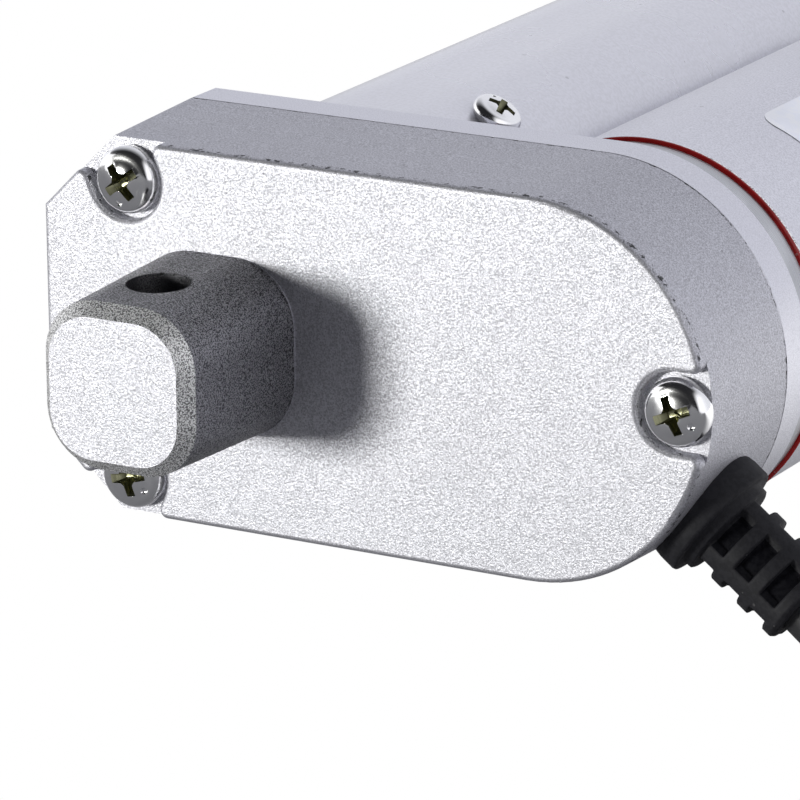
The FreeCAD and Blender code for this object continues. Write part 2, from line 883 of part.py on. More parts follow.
def motor_can():
    can = flatted(motor_radius, motor_flat, motor_face, end_bell_start)
    inner_start = motor_face + motor_wall
    inner = flatted(motor_radius - motor_wall, motor_flat - motor_wall, inner_start, end_bell_start + 1)
    can = can.cut(inner)
    can = can.fuse(disc(motor_x, 0, motor_boss_radius, motor_face - motor_boss_length, inner_start))
    can = can.cut(disc(motor_x, 0, motor_bush_radius, motor_face - motor_boss_length - 1, inner_start + 1))
    for x, z in motor_screws_at():
        can = can.cut(disc(x, z, motor_screw_radius, motor_face - 1, inner_start + 1))
    return can


def motor_bushes():
    spans = [
        (motor_face - motor_boss_length, motor_face + motor_wall),
        (end_bell_start, end_bell_start + end_bell_thickness),
    ]
    outer = motor_bush_radius - fitted
    return [ring(motor_x, 0, outer, motor_shaft_radius + running, start, end) for start, end in spans]


def terminal(sign, start, end):
    return block(motor_x + sign * terminal_reach, start, 0, terminal_thickness, end - start, terminal_width)


def motor_end_bell():
    end = end_bell_start + end_bell_thickness
    bell = flatted(motor_radius, motor_flat, end_bell_start, end)
    for sign in (1, -1):
        bell = bell.cut(terminal(sign, end_bell_start - 1, end + 1))
    return bell.cut(disc(motor_x, 0, motor_bush_radius, end_bell_start - 1, end + 1))


def motor_terminals():
    start = end_bell_start - terminal_inside
    end = end_bell_start + end_bell_thickness + terminal_outside
    return [terminal(sign, start, end) for sign in (1, -1)]


def motor_brushes():
    # Carbon blocks between the commutator and the terminals
    start = commutator_start + (commutator_length - brush_width) / 2
    inner = commutator_radius + running
    outer = terminal_reach - terminal_thickness / 2
    brushes = []
    for sign in (1, -1):
        x = motor_x + sign * (inner + outer) / 2
        brushes.append(block(x, start, 0, outer - inner, brush_width, brush_width))
    return brushes


def motor_magnets():
    # Two arcs held on the round sides of the can
    start = armature_core_start - (magnet_length - armature_length) / 2
    outer = motor_radius - motor_wall
    angle = math.radians(magnet_half_angle)
    magnets = []
    for sign in (1, -1):
        corners = [
            Vec(motor_x, start, 0),
            Vec(motor_x + sign * outer * 2, start, -outer * 2 * math.tan(angle)),
            Vec(motor_x + sign * outer * 2, start, outer * 2 * math.tan(angle)),
        ]
        wedge = prism(Part.makePolygon(corners + [corners[0]]), magnet_length)
        sleeve = ring(motor_x, 0, outer, magnet_inner_radius, start, start + magnet_length)
        magnets.append(sleeve.common(wedge))
    return magnets


def motor_screws():
    screw = pan_screw(motor_screw_radius, motor_screw_length, motor_head_radius, motor_head_height)
    return [aimed(screw, Vec(x, parting, z), AXIS) for x, z in motor_screws_at()]


def winding_slots(start, end):
    # The slots of a laminated core, open at its rim
    slots = []
    height = 2 * armature_radius
    middle = armature_hub_radius + height / 2
    for number in range(armature_slots):
        slot = block(motor_x, start, middle, armature_slot_width, end - start, height)
        slot.rotate(Vec(motor_x, 0, 0), AXIS, 360 / armature_slots * number)
        slots.append(slot)
    return slots


def armature_core():
    core = ring(motor_x, 0, armature_radius, motor_shaft_radius, armature_core_start, armature_core_end)
    for slot in winding_slots(armature_core_start - 1, armature_core_end + 1):
        core = core.cut(slot)
    return core


def armature_windings():
    # Wire packed in the slots and over both ends of the core
    front = armature_core_end + winding_length
    coils = disc(motor_x, 0, winding_radius, armature_core_start - winding_length, armature_core_start)
    coils = coils.fuse(disc(motor_x, 0, winding_radius, armature_core_end, front))
    inside = disc(motor_x, 0, winding_radius, armature_core_start - 1, armature_core_end + 1)
    for slot in winding_slots(armature_core_start, armature_core_end):
        coils = coils.fuse(slot.common(inside))
    return coils.cut(disc(motor_x, 0, motor_shaft_radius, motor_face, commutator_start))


def commutator():
    end = commutator_start + commutator_length
    return ring(motor_x, 0, commutator_radius, motor_shaft_radius, commutator_start, end)


def motor_shaft():
    start = wheel_start - pinion_overhang - free_gap
    end = end_bell_start + end_bell_thickness - free_gap
    profile = [
        (0, start),
        (motor_shaft_radius - tip_chamfer, start),
        (motor_shaft_radius, start + tip_chamfer),
        (motor_shaft_radius, end),
        (0, end),
    ]
    return turned(profile, motor_x)


def drive_nut():
    # It slides in the outer tube; an ear in its top slot meets the limit switches
    envelope = tube_profile(tube_wall + sliding, nut_rear, nut_front)
    slot_floor = rod_radius + nut_slot_floor
    slot = block(0, nut_rear - 1, slot_floor + tube_height / 2, nut_slot_width, nut_length + 2, tube_height)
    ear_top = strip_z - strip_thickness / 2 - free_gap
    ear_height = ear_top - rod_radius
    ear = block(0, ear_start, ear_top - ear_height / 2, nut_slot_width + 1, nut_ear_length, ear_height)
    body = envelope.cut(slot).fuse(ear.common(envelope))
    body = body.fuse(disc(0, 0, rod_radius - rod_wall, nut_front - 1, nut_front + nut_neck))
    body = body.cut(disc(0, 0, screw_radius + running, nut_rear - 1, nut_front + nut_neck + 1))
    return body.cut(rod_pin_cylinder(nut_front + nut_neck / 2))


def rod_pin_cylinder(y):
    return Part.makeCylinder(rod_pin_radius, rod_radius * 2 + 2, Vec(-rod_radius - 1, y, 0), Vec(1, 0, 0))


def extension_rod():
    rod = ring(0, 0, rod_radius, rod_radius - rod_wall, nut_front, rod_head)
    rod = rod.cut(rod_pin_cylinder(nut_front + nut_neck / 2))
    return rod.cut(rod_pin_cylinder(rod_head - rod_end_neck / 2))


def rod_pins():
    # Two short pins hold the nut, and one long pin holds the rod end
    inner = screw_radius + 2 * free_gap
    outer = rod_radius - free_gap
    pins = []
    for sign in (1, -1):
        root = Vec(sign * inner, nut_front + nut_neck / 2, 0)
        pins.append(Part.makeCylinder(rod_pin_radius, outer - inner, root, Vec(sign, 0, 0)))
    root = Vec(-outer, rod_head - rod_end_neck / 2, 0)
    pins.append(Part.makeCylinder(rod_pin_radius, outer * 2, root, Vec(1, 0, 0)))
    return pins


def rod_end():
    inner = rod_radius - rod_wall
    neck = rod_head - rod_end_neck
    profile = [
        (0, neck),
        (inner - rod_end_edge, neck),
        (inner, neck + rod_end_edge),
        (inner, rod_head),
        (rod_radius, rod_head),
        (rod_radius, rod_tip - rod_end_edge),
        (rod_radius - rod_end_edge, rod_tip),
        (0, rod_tip),
    ]
    end = turned(profile)
    flat_start = rod_bore_y - rod_end_reach + rod_end_edge
    for sign in (1, -1):
        z = sign * (rod_end_flat + rod_radius)
        end = end.cut(block(0, flat_start, z, rod_radius * 2, rod_end_reach * 2, rod_radius * 2))
    return end.cut(pin_hole(rod_bore_y, rod_radius * 2)).cut(rod_pin_cylinder(rod_head - rod_end_neck / 2))


def switch_strip():
    start = spigot_end + screw_bush_flange
    return block(0, start, strip_z, strip_width, cap_start - free_gap - start, strip_thickness)


def limit_switches():
    rear = rear_plunger_tip - plunger_reach - switch_length
    front = front_plunger_tip + plunger_reach
    bodies = []
    for start, mouth in ((rear, rear + switch_length), (front, front)):
        body = block(0, start, switch_z, switch_width, switch_length, switch_height)
        hole = disc(0, switch_z, plunger_radius + running, mouth - plunger_well, mouth + plunger_well)
        bodies.append(body.cut(hole))
    return bodies


def rear_plunger():
    return disc(0, switch_z, plunger_radius, rear_plunger_tip - plunger_length, rear_plunger_tip)


def front_plunger():
    return disc(0, switch_z, plunger_radius, front_plunger_tip, front_plunger_tip + plunger_length)


def gland_profile(flange_end):
    # From the barbed end inside the cover, through the wall, out to the last rib
    wall_inside = half_height - cover_wall - cover_draft
    neck_start = wall_inside - gland_barb_gap
    sunk = gland_base - gland_flange_sink
    step_end = flange_end + gland_step
    profile = [
        (cable_radius, neck_start - gland_barb_length),
        (gland_neck_radius, neck_start - gland_barb_length),
        (gland_barb_radius, neck_start - gland_barb_length / 2),
        (gland_neck_radius, neck_start),
        (gland_neck_radius, sunk),
        (gland_flange_radius, sunk),
        (gland_flange_radius, flange_end - gland_flange_edge),
        (gland_flange_radius - gland_flange_edge, flange_end),
        (gland_step_radius, flange_end),
        (gland_step_radius, step_end),
    ]
    for number in range(gland_rib_count):
        rib_end = step_end + (number + 1) * gland_rib_pitch
        profile += [
            (gland_core_radius, rib_end - gland_rib_pitch),
            (gland_core_radius, rib_end - gland_rib_width),
            (gland_rib_radius, rib_end - gland_rib_width),
            (gland_rib_radius, rib_end),
        ]
    profile.append((cable_radius, gland_tip))
    return profile


def cable_gland():
    # Ribs joined by webs, so that dark windows stay between them
    flange_end = gland_base + gland_flange_height
    body = turned(gland_profile(flange_end))
    web_height = gland_rib_radius - gland_web_inset - gland_core_radius + gland_web_root
    web_z = gland_core_radius - gland_web_root + web_height / 2
    for number in range(gland_web_count):
        web = block(0, flange_end, web_z, gland_web_width, gland_tip - flange_end, web_height)
        web.rotate(Vec(0, 0, 0), AXIS, 360 / gland_web_count * (number + 0.5))
        body = body.fuse(web)
    body = aimed(body, Vec(round_x, gland_y, 0), direction(gland_angle))
    # The flange's underside follows the housing's round wall
    wall = housing_body([(cover_draft, cover_face), (0, parting)])
    return body.cut(wall.cut(gland_hole()).cut(cover_cavity(parting)))


def cable_route():
    # Chosen by hand: out of the strain relief, down, and on along the surface to the coil
    lying = surface_z + cable_radius
    return [
        gland_place(gland_tip),
        gland_place(gland_tip + cable_run_out),
        Vec(91, 28, -68),
        Vec(88, 52, lying),
        Vec(87, 82, lying),
    ]


def tube_along(points, radius):
    # Straight runs joined by tangent arcs, each as large as its two runs allow
    edges = []
    here = points[0]
    for before, corner, after in zip(points, points[1:], points[2:]):
        inward = corner - before
        onward = after - corner
        shorter = min(inward.Length, onward.Length)
        turn = inward.getAngle(onward)
        inward.normalize()
        onward.normalize()
        trim = 0.45 * shorter
        bend = trim / math.tan(turn / 2)
        start = corner - inward * trim
        end = corner + onward * trim
        towards = onward - inward
        towards.normalize()
        middle = corner + towards * (bend / math.cos(turn / 2) - bend)
        edges.append(Part.LineSegment(here, start).toShape())
        edges.append(Part.Arc(start, middle, end).toShape())
        print("bend radius", round(bend, 1))
        here = end
    edges.append(Part.LineSegment(here, points[-1]).toShape())
    path = Part.Wire(edges)
    first = points[1] - points[0]
    section = Part.Wire([Part.Circle(points[0], first, radius).toShape()])
    tube = path.makePipeShell([section], True, False)
    full = math.pi * radius * radius * path.Length
    print("route length", round(path.Length, 1), "volume", round(tube.Volume, 1), "of", round(full, 1))
    return tube


def cable():
    return tube_along(cable_route(), cable_radius)


def coil_centre():
    # The middle of the coil's underside
    entry = cable_route()[-1]
    return Vec(entry.x - coil_radius - coil_lane, entry.y, coil_base)


def bundle_turned(grown, start, sweep):
    # The bundle's bevelled section, grown on all sides and turned about the coil's axis
    half_width = coil_bundle / 2 + grown
    top = coil_height + grown
    side = half_width - coil_bevel
    corners = [
        (-side, -grown),
        (side, -grown),
        (half_width, -grown + coil_bevel),
        (half_width, top - coil_bevel),
        (side, top),
        (-side, top),
        (-half_width, top - coil_bevel),
        (-half_width, -grown + coil_bevel),
    ]
    points = [coil_centre() + Vec(coil_radius + across, 0, up) for across, up in corners]
    section = Part.Face(Part.makePolygon(points + [points[0]]))
    section.rotate(coil_centre(), Vec(0, 0, 1), start)
    return section.revolve(coil_centre(), Vec(0, 0, 1), sweep)


def cable_coil():
    return bundle_turned(0, 0, 360)


def coil_tie():
    # A band round the bundle on the side towards the rod
    start = 180 - tie_angle / 2
    return bundle_turned(tie_thickness, start, tie_angle).cut(bundle_turned(0, start - 1, tie_angle + 2))


def tail_heading():
    # The way along the surface in which the turns run at the tail's angle
    angle = math.radians(tail_angle)
    return Vec(-math.sin(angle), math.cos(angle), 0)


def tail_start():
    # In the upper layer of turns
    reach = coil_radius + tail_lane
    heading = tail_heading()
    up = coil_height - cable_radius - sliding
    return coil_centre() + Vec(heading.y * reach, -heading.x * reach, up)


def tail_end():
    end = tail_start() + tail_heading() * tail_length
    return Vec(end.x, end.y, surface_z + cable_radius)


def cable_tail():
    # From the coil's top layer down to the surface
    run = tail_end() - tail_start()
    return Part.makeCylinder(cable_radius, run.Length, tail_start(), run)


def cable_leads():
    # Two thin leads with bare ends, side by side where the jacket stops
    heading = tail_heading()
    across = Vec(-heading.y, heading.x, 0) * (lead_radius + free_gap)
    run = heading * lead_length - Vec(0, 0, lead_fall)
    start = tail_end() + heading * free_gap
    return [Part.makeCylinder(lead_radius, run.Length, start + across * sign, run) for sign in (1, -1)]


subparts = {
    "rear_cover": rear_cover,
    "front_plate": front_plate,
    "cover_screws": cover_screws,
    "outer_tube": outer_tube,
    "tube_screws": tube_screws,
    "front_cap": front_cap,
    "rod_bush": rod_bush,
    "rod_wiper": rod_wiper,
    "motor_gasket": motor_gasket,
    "motor_tube": motor_tube,
    "motor_end_cap": motor_end_cap,
    "tie_bolts": tie_bolts,
    "idler_pin": idler_pin,
    "idler_wheel": idler_wheel,
    "idler_pinion": idler_pinion,
    "motor_pinion": motor_pinion,
    "screw_gear": screw_gear,
    "screw_key": screw_key,
    "screw_clip": screw_clip,
    "lead_screw": lead_screw,
    "screw_spacer": screw_spacer,
    "screw_bush": screw_bush,
    "bearing_outer_ring": bearing_outer_ring,
    "bearing_inner_ring": bearing_inner_ring,
    "bearing_balls": bearing_balls,
    "bearing_cage": bearing_cage,
    "bearing_retainer": bearing_retainer,
    "motor_can": motor_can,
    "motor_bushes": motor_bushes,
    "motor_end_bell": motor_end_bell,
    "motor_terminals": motor_terminals,
    "motor_brushes": motor_brushes,
    "motor_magnets": motor_magnets,
    "motor_screws": motor_screws,
    "armature_core": armature_core,
    "armature_windings": armature_windings,
    "commutator": commutator,
    "motor_shaft": motor_shaft,
    "drive_nut": drive_nut,
    "extension_rod": extension_rod,
    "rod_pins": rod_pins,
    "rod_end": rod_end,
    "switch_strip": switch_strip,
    "limit_switches": limit_switches,
    "rear_plunger": rear_plunger,
    "front_plunger": front_plunger,
    "cable_gland": cable_gland,
    "cable": cable,
    "cable_coil": cable_coil,
    "coil_tie": coil_tie,
    "cable_tail": cable_tail,
    "cable_leads": cable_leads,
}

os.makedirs("parts", exist_ok=True)
for node, make in subparts.items():
    made = make()
    solids = made if isinstance(made, list) else [made]
    shape = Part.makeCompound([solid for piece in solids for solid in piece.Solids])
    shape.exportStep("parts/" + node + ".step")
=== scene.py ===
import math
import bmesh
import bpy
from mathutils import Matrix, Vector


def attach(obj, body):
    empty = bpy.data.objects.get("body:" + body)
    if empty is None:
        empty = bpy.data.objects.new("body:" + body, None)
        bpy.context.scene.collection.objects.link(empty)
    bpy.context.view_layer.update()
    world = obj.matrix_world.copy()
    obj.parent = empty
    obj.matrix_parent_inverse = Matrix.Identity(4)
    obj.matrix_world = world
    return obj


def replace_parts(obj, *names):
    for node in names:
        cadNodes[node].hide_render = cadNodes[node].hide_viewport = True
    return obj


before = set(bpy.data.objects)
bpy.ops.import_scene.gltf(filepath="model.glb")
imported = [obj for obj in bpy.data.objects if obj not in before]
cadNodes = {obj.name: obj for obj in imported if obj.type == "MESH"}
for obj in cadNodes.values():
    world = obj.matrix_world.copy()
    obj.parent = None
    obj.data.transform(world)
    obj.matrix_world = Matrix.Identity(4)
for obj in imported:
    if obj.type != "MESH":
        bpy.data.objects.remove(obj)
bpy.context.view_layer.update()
scene = bpy.context.scene
mm = 0.001  # the sizes of pieces are in millimetres, the camera and the stage in metres

print("stage: camera")
cameraLook = {
    "place": (0.2943, -0.4686, 0.1657),
    "forward": (-0.47380, 0.83068, -0.29239),
    "up": (-0.13721, 0.25833, 0.95626),
    "lens": 264.9,
    "near": 0.05,
    "far": 20,
}


def placeCamera():
    data = bpy.data.cameras.new("photoCamera")
    data.lens = cameraLook["lens"]
    data.clip_start = cameraLook["near"]
    data.clip_end = cameraLook["far"]
    forward = Vector(cameraLook["forward"]).normalized()
    right = forward.cross(Vector(cameraLook["up"])).normalized()
    turn = Matrix((right, right.cross(forward), -forward)).transposed()
    camera = bpy.data.objects.new("photoCamera", data)
    camera.matrix_world = Matrix.Translation(cameraLook["place"]) @ turn.to_4x4()
    scene.collection.objects.link(camera)
    scene.camera = camera


placeCamera()


def newPiece(name, data, body="housing"):
    piece = bpy.data.objects.new(name, data)
    scene.collection.objects.link(piece)
    if body:
        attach(piece, body)
    return piece


def meshFrom(name, bm, smooth=True):
    mesh = bpy.data.meshes.new(name)
    bm.to_mesh(mesh)
    bm.free()
    for polygon in mesh.polygons:
        polygon.use_smooth = smooth
    return mesh


def spunShape(profile, segments):
    # A closed shape turned about Z from a half profile of (radius, height)
    bm = bmesh.new()
    verts = [bm.verts.new((across * mm, 0, height * mm)) for across, height in profile]
    edges = [bm.edges.new(pair) for pair in zip(verts, verts[1:])]
    bmesh.ops.spin(
        bm, geom=verts + edges, cent=(0, 0, 0), axis=(0, 0, 1), angle=math.tau, steps=segments, use_merge=True
    )
    bmesh.ops.remove_doubles(bm, verts=bm.verts, dist=0.001 * mm)
    bmesh.ops.recalc_face_normals(bm, faces=bm.faces)
    return bm


print("stage: cable")
cableMm = {
    "radius": 2.9,
    "length": 1000,
    "route": [(61.12, 19.1, -20.4), (83.18, 19.1, -37.64), (91, 28, -68), (88, 52, -87.1)],
    "coilCentre": (48, 82),
    "lowerTurns": -86.1,
    "turnHeight": 5.9,
    "pointStep": 20,  # degrees between a coil's control points
    # (degrees, radius, layer) where the lay of the turns changes
    "lay": [
        (0, 39, 0), (250, 39, 0), (310, 33, 0), (610, 33, 0), (670, 27, 0), (900, 27, 0),
        (970, 28.5, 1), (1010, 30, 1), (1200, 30, 1), (1260, 36, 1), (1500, 36, 1),
    ],
    "tail": [(52, 121.3, -80.0), (38, 129.4, -83.4), (24, 137.4, -87.1)],
    "bevelSteps": 5,
    "smoothSteps": 6,
}


def eased(share):
    return share * share * (3 - 2 * share)


def coilPoint(degrees):
    # A place on the coil, from the lay's two marks on either side of it
    lay = cableMm["lay"]
    for (a, ra, la), (b, rb, lb) in zip(lay, lay[1:]):
        if a <= degrees <= b:
            share = eased((degrees - a) / (b - a))
            radius = ra + (rb - ra) * share
            height = cableMm["lowerTurns"] + cableMm["turnHeight"] * (la + (lb - la) * share)
    x, y = cableMm["coilCentre"]
    turn = math.radians(degrees)
    return (x + radius * math.cos(turn), y + radius * math.sin(turn), height)


def drawCable():
    last = cableMm["lay"][-1][0]
    turns = [coilPoint(degrees) for degrees in range(0, last + 1, cableMm["pointStep"])]
    places = cableMm["route"] + turns + cableMm["tail"]
    data = bpy.data.curves.new("cable_run", "CURVE")
    data.dimensions = "3D"
    data.bevel_depth = 1.0  # each point's own radius gives the thickness
    data.bevel_resolution = cableMm["bevelSteps"]
    data.resolution_u = cableMm["smoothSteps"]
    data.use_fill_caps = True
    spline = data.splines.new("NURBS")
    spline.points.add(len(places) - 1)
    for point, place in zip(spline.points, places):
        point.co = (*(Vector(place) * mm), 1)
        point.radius = cableMm["radius"] * mm
    spline.order_u = 3
    spline.use_endpoint_u = True
    return newPiece("cable_run", data)


cableRun = drawCable()
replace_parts(cableRun, "cable", "cable_coil", "cable_tail")


def aimedMatrix(place, direction):
    # Turns a shape made along +Z to a direction and sets it at a place
    turn = Vector((0, 0, 1)).rotation_difference(Vector(direction)).to_matrix().to_4x4()
    return Matrix.Translation(place) @ turn


def addRod(bm, start, end, radius, sides, material):
    # A round rod between two points
    start, end = Vector(start) * mm, Vector(end) * mm
    made = bmesh.ops.create_cone(
        bm, cap_ends=True, segments=sides, radius1=radius * mm, radius2=radius * mm,
        depth=(end - start).length, matrix=aimedMatrix((start + end) / 2, end - start),
    )
    for face in {face for vert in made["verts"] for face in vert.link_faces}:
        face.material_index = material


# The strands' circle and radius are shares of the lead's radius
leadMm = {
    "radius": 0.9, "length": 19, "copper": 6, "drop": 2.0, "apart": 1.1, "hidden": 2, "strandHidden": 1,
    "strandCircle": 0.42, "strandRadius": 0.2, "twist": 35, "sides": 20, "strandSides": 8,
}


def strandPlace(side, reach, degrees):
    turn = math.radians(degrees)
    return side * reach * math.cos(turn) + Vector((0, 0, reach * math.sin(turn)))


def drawLeads():
    # Two insulated wires that come out of the jacket, each with a stripped end of seven strands
    look = leadMm
    start = Vector(cableMm["tail"][-1])
    along = start - Vector(cableMm["tail"][-2])
    along.z = 0
    along.normalize()
    side = Vector((-along.y, along.x, 0))
    bm = bmesh.new()
    for sign, material in ((1, 0), (-1, 1)):
        root = start + side * sign * look["apart"]
        tip = root + along * look["length"] - Vector((0, 0, look["drop"]))
        addRod(bm, root - along * look["hidden"], tip, look["radius"], look["sides"], material)
        for strand in range(7):
            reach = 0 if strand == 6 else look["radius"] * look["strandCircle"]
            near = tip - along * look["strandHidden"] + strandPlace(side, reach, 60 * strand)
            far = tip + along * look["copper"] + strandPlace(side, reach, 60 * strand + look["twist"])
            addRod(bm, near, far, look["radius"] * look["strandRadius"], look["strandSides"], 2)
    leads = newPiece("lead_wires", meshFrom("lead_wires", bm))
    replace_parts(leads, "cable_leads")
    return leads


glandMm = {
    "foot": (35.0, 19.1, 0.0), "tilt": -38, "bore": 2.95, "facing": 149,
    # (radius, reach along the gland) of its outline, from inside the housing outwards
    "outline": [
        (6.3, 18.14), (6.5, 19.74), (6.5, 21.3), (6.4, 21.55), (6.1, 21.64), (5.25, 21.66), (5.2, 22.5),
        (5.0, 22.64),
    ],
    "ribbed": (22.68, 33.14), "pitch": 3.5, "rib": 1.6, "ribRadius": 4.5, "coreRadius": 3.45, "shoulder": 0.1,
    "barWidth": 2.4, "soft": 0.28, "endRounding": 0.5, "endDrop": 0.35, "rowStep": 0.14, "columns": 120,
}


def clamped(share):
    return min(1.0, max(0.0, share))


def glandRadius(reach, angle):
    # The ribbed sleeve: rings and four bars stand out from a thinner core
    look = glandMm
    first, last = look["ribbed"]
    halfPitch = look["pitch"] / 2
    fromRib = abs((last - look["rib"] / 2 - reach + halfPitch) % look["pitch"] - halfPitch)
    fromBar = math.radians(abs((angle - look["facing"]) % 90 - 45)) * look["ribRadius"]
    edge = min(fromRib - look["rib"] / 2, fromBar - look["barWidth"] / 2, reach - first - look["shoulder"])
    rise = eased(clamped(0.5 - edge / look["soft"]))
    radius = look["coreRadius"] + (look["ribRadius"] - look["coreRadius"]) * rise
    return radius - look["endDrop"] * eased(clamped(1 - (last - reach) / look["endRounding"]))


def drawGland():
    look = glandMm
    first, last = look["ribbed"]
    steps = round((last - first) / look["rowStep"])
    rows = [(look["ribRadius"], first + (last - first) * number / steps) for number in range(steps + 1)]
    inner = [(look["bore"], last), (look["bore"], look["outline"][0][1]), look["outline"][0]]
    bm = spunShape(look["outline"] + rows + inner, look["columns"])
    # The windows between the ribs are pushed in, and their floors get a painted shade, a darker copy of the
    # rubber
    ribLine = (look["coreRadius"] + look["ribRadius"]) / 2
    for vert in bm.verts:
        across = Vector((vert.co.x, vert.co.y))
        reach = vert.co.z / mm
        if reach > first - look["rowStep"] / 10 and across.length > ribLine * mm:
            radius = glandRadius(reach, math.degrees(math.atan2(across.y, across.x)))
            vert.co.x, vert.co.y = across.normalized() * radius * mm
    margin = 1.5 * look["rowStep"]
    for face in bm.faces:
        reach = min(vert.co.z for vert in face.verts) / mm
        middle = face.calc_center_median()
        angle = math.degrees(math.atan2(middle.y, middle.x)) - 180 / look["columns"]
        if first + margin < reach < last - margin and glandRadius(reach, angle) < ribLine:
            face.material_index = 1
    tilt = math.radians(look["tilt"])
    axis = Vector((math.cos(tilt), 0, math.sin(tilt)))
    beside = Vector((0, 1, 0))
    turn = Matrix((beside, axis.cross(beside), axis)).transposed().to_4x4()
    bmesh.ops.transform(bm, matrix=Matrix.Translation(Vector(look["foot"]) * mm) @ turn, verts=bm.verts)
    gland = newPiece("gland_sleeve", meshFrom("gland_sleeve", bm))
    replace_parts(gland, "cable_gland")
    return gland


leadWires = drawLeads()
glandSleeve = drawGland()

print("stage: floor and light")
stageLook = {
    "floorHeight": -0.090,
    "floorSize": 6.0,
    "floorTone": (0.38, 0.38, 0.39, 1),
    "floorGlow": 0.42,  # how strongly the floor shines once it is behind the part
    "glowDepth": (0.0, 0.25),
    "glowRight": 1.5,  # how much more it shines on the right
    "glowSide": (0.04, 0.14),
    "backTone": (1.0, 1.0, 1.0, 1),
    "skyBehind": (0.80, 0.81, 0.87, 1),
    "skyBefore": (0.018, 0.018, 0.020, 1),
    "skyLeft": (1.3, 1.3, 1.32, 1),
    "skyRight": (1.15, 1.15, 1.2, 1),
    # Where each part of the sky starts and is full, as shares of the way to that side
    "behindSpan": (-0.2, 0.75),
    "rightSpan": (0.45, 0.8),
    "leftSpan": (-0.68, -0.74),
    "leftHalfHeight": 0.45,
}
lamps = {
    "keyLamp": {
        "from": (-0.52, -0.85, 0.01), "distance": 2.0, "size": 0.53, "power": 41.5,
        "color": (1.0, 1.0, 0.955),
    },
}


def addNode(tree, kind, inputs=None, **settings):
    # A node with its settings, and each input either joined to an output or given a value
    node = tree.nodes.new(kind)
    for key, value in settings.items():
        setattr(node, key, value)
    for key, value in (inputs or {}).items():
        if isinstance(value, bpy.types.NodeSocket):
            tree.links.new(value, node.inputs[key])
        else:
            node.inputs[key].default_value = value
    return node


def addMath(tree, operation, *values, clamp=False):
    inputs = dict(enumerate(values))
    return addNode(tree, "ShaderNodeMath", inputs, operation=operation, use_clamp=clamp).outputs[0]


def addProduct(tree, first, *others):
    for value in others:
        first = addMath(tree, "MULTIPLY", first, value)
    return first


def addMost(tree, first, *others):
    # The greatest of several values
    for value in others:
        first = addMath(tree, "MAXIMUM", first, value)
    return first


def addBlend(tree, share, first, second):
    # Two colours mixed by a share
    return addNode(tree, "ShaderNodeMix", {0: share, 6: first, 7: second}, data_type="RGBA").outputs[2]


def addRange(tree, value, low, high, outLow=0.0, outHigh=1.0):
    inputs = {"Value": value, "From Min": low, "From Max": high, "To Min": outLow, "To Max": outHigh}
    return addNode(tree, "ShaderNodeMapRange", inputs, interpolation_type="SMOOTHSTEP").outputs[0]


def addShare(tree, value, most):
    # The value times its greatest share, softened at both ends
    return addRange(tree, value, 0.0, 1.0, 0.0, most)


def addSplit(tree, vector):
    return addNode(tree, "ShaderNodeSeparateXYZ", {0: vector}).outputs


def addStageFloor():
    bm = bmesh.new()
    bmesh.ops.create_grid(bm, x_segments=1, y_segments=1, size=stageLook["floorSize"] / 2)
    bmesh.ops.translate(bm, verts=bm.verts, vec=(0, 0, stageLook["floorHeight"]))
    floor = newPiece("stage_floor", meshFrom("stage_floor", bm), body=None)
    material = bpy.data.materials.new("paleFloor")
    material.use_nodes = True
    tree = material.node_tree
    tree.nodes.clear()
    output = tree.nodes.new("ShaderNodeOutputMaterial")
    path = tree.nodes.new("ShaderNodeLightPath")
    diffuse = addNode(tree, "ShaderNodeBsdfDiffuse", {"Color": stageLook["floorTone"]})
    white = addNode(tree, "ShaderNodeEmission", {"Color": stageLook["backTone"], "Strength": 1.0})
    # Behind the part the floor shines back as a lit white sweep does, more so on the right
    place = addSplit(tree, tree.nodes.new("ShaderNodeTexCoord").outputs["Object"])
    strength = addProduct(
        tree, addRange(tree, place["Y"], *stageLook["glowDepth"], 0.0, stageLook["floorGlow"]),
        addRange(tree, place["X"], *stageLook["glowSide"], 1.0, 1.0 + stageLook["glowRight"]),
    )
    glow = addNode(tree, "ShaderNodeEmission", {"Color": stageLook["backTone"], "Strength": strength})
    lit = addNode(tree, "ShaderNodeAddShader", {0: diffuse.outputs[0], 1: glow.outputs[0]})
    shares = {0: path.outputs["Is Camera Ray"], 1: lit.outputs[0], 2: white.outputs[0]}
    mix = addNode(tree, "ShaderNodeMixShader", shares)
    tree.links.new(mix.outputs[0], output.inputs["Surface"])
    floor.data.materials.append(material)


def addSky():
    world = bpy.data.worlds.new("studioSky")
    scene.world = world
    world.use_nodes = True
    tree = world.node_tree
    tree.nodes.clear()
    output = tree.nodes.new("ShaderNodeOutputWorld")
    look = stageLook
    way = addSplit(tree, tree.nodes.new("ShaderNodeTexCoord").outputs["Generated"])
    # White behind, a low bright card far left, a weaker one on the right, and dark in front
    tone = addBlend(tree, addRange(tree, way["X"], *look["rightSpan"]), look["skyBefore"], look["skyRight"])
    low = addMath(tree, "LESS_THAN", addMath(tree, "ABSOLUTE", way["Z"]), look["leftHalfHeight"])
    left = addProduct(tree, low, addRange(tree, way["X"], *look["leftSpan"]))
    tone = addBlend(tree, left, tone, look["skyLeft"])
    tone = addBlend(tree, addRange(tree, way["Y"], *look["behindSpan"]), tone, look["skyBehind"])
    back = addNode(tree, "ShaderNodeBackground", {"Color": tone})
    tree.links.new(back.outputs[0], output.inputs["Surface"])


def addLamp(name, look):
    data = bpy.data.lights.new(name, "AREA")
    data.shape = "DISK"
    data.size = look["size"]
    data.energy = look["power"]
    data.color = look["color"]
    lamp = bpy.data.objects.new(name, data)
    towards = Vector(look["from"]).normalized()
    lamp.matrix_world = aimedMatrix(towards * look["distance"], towards)
    scene.collection.objects.link(lamp)


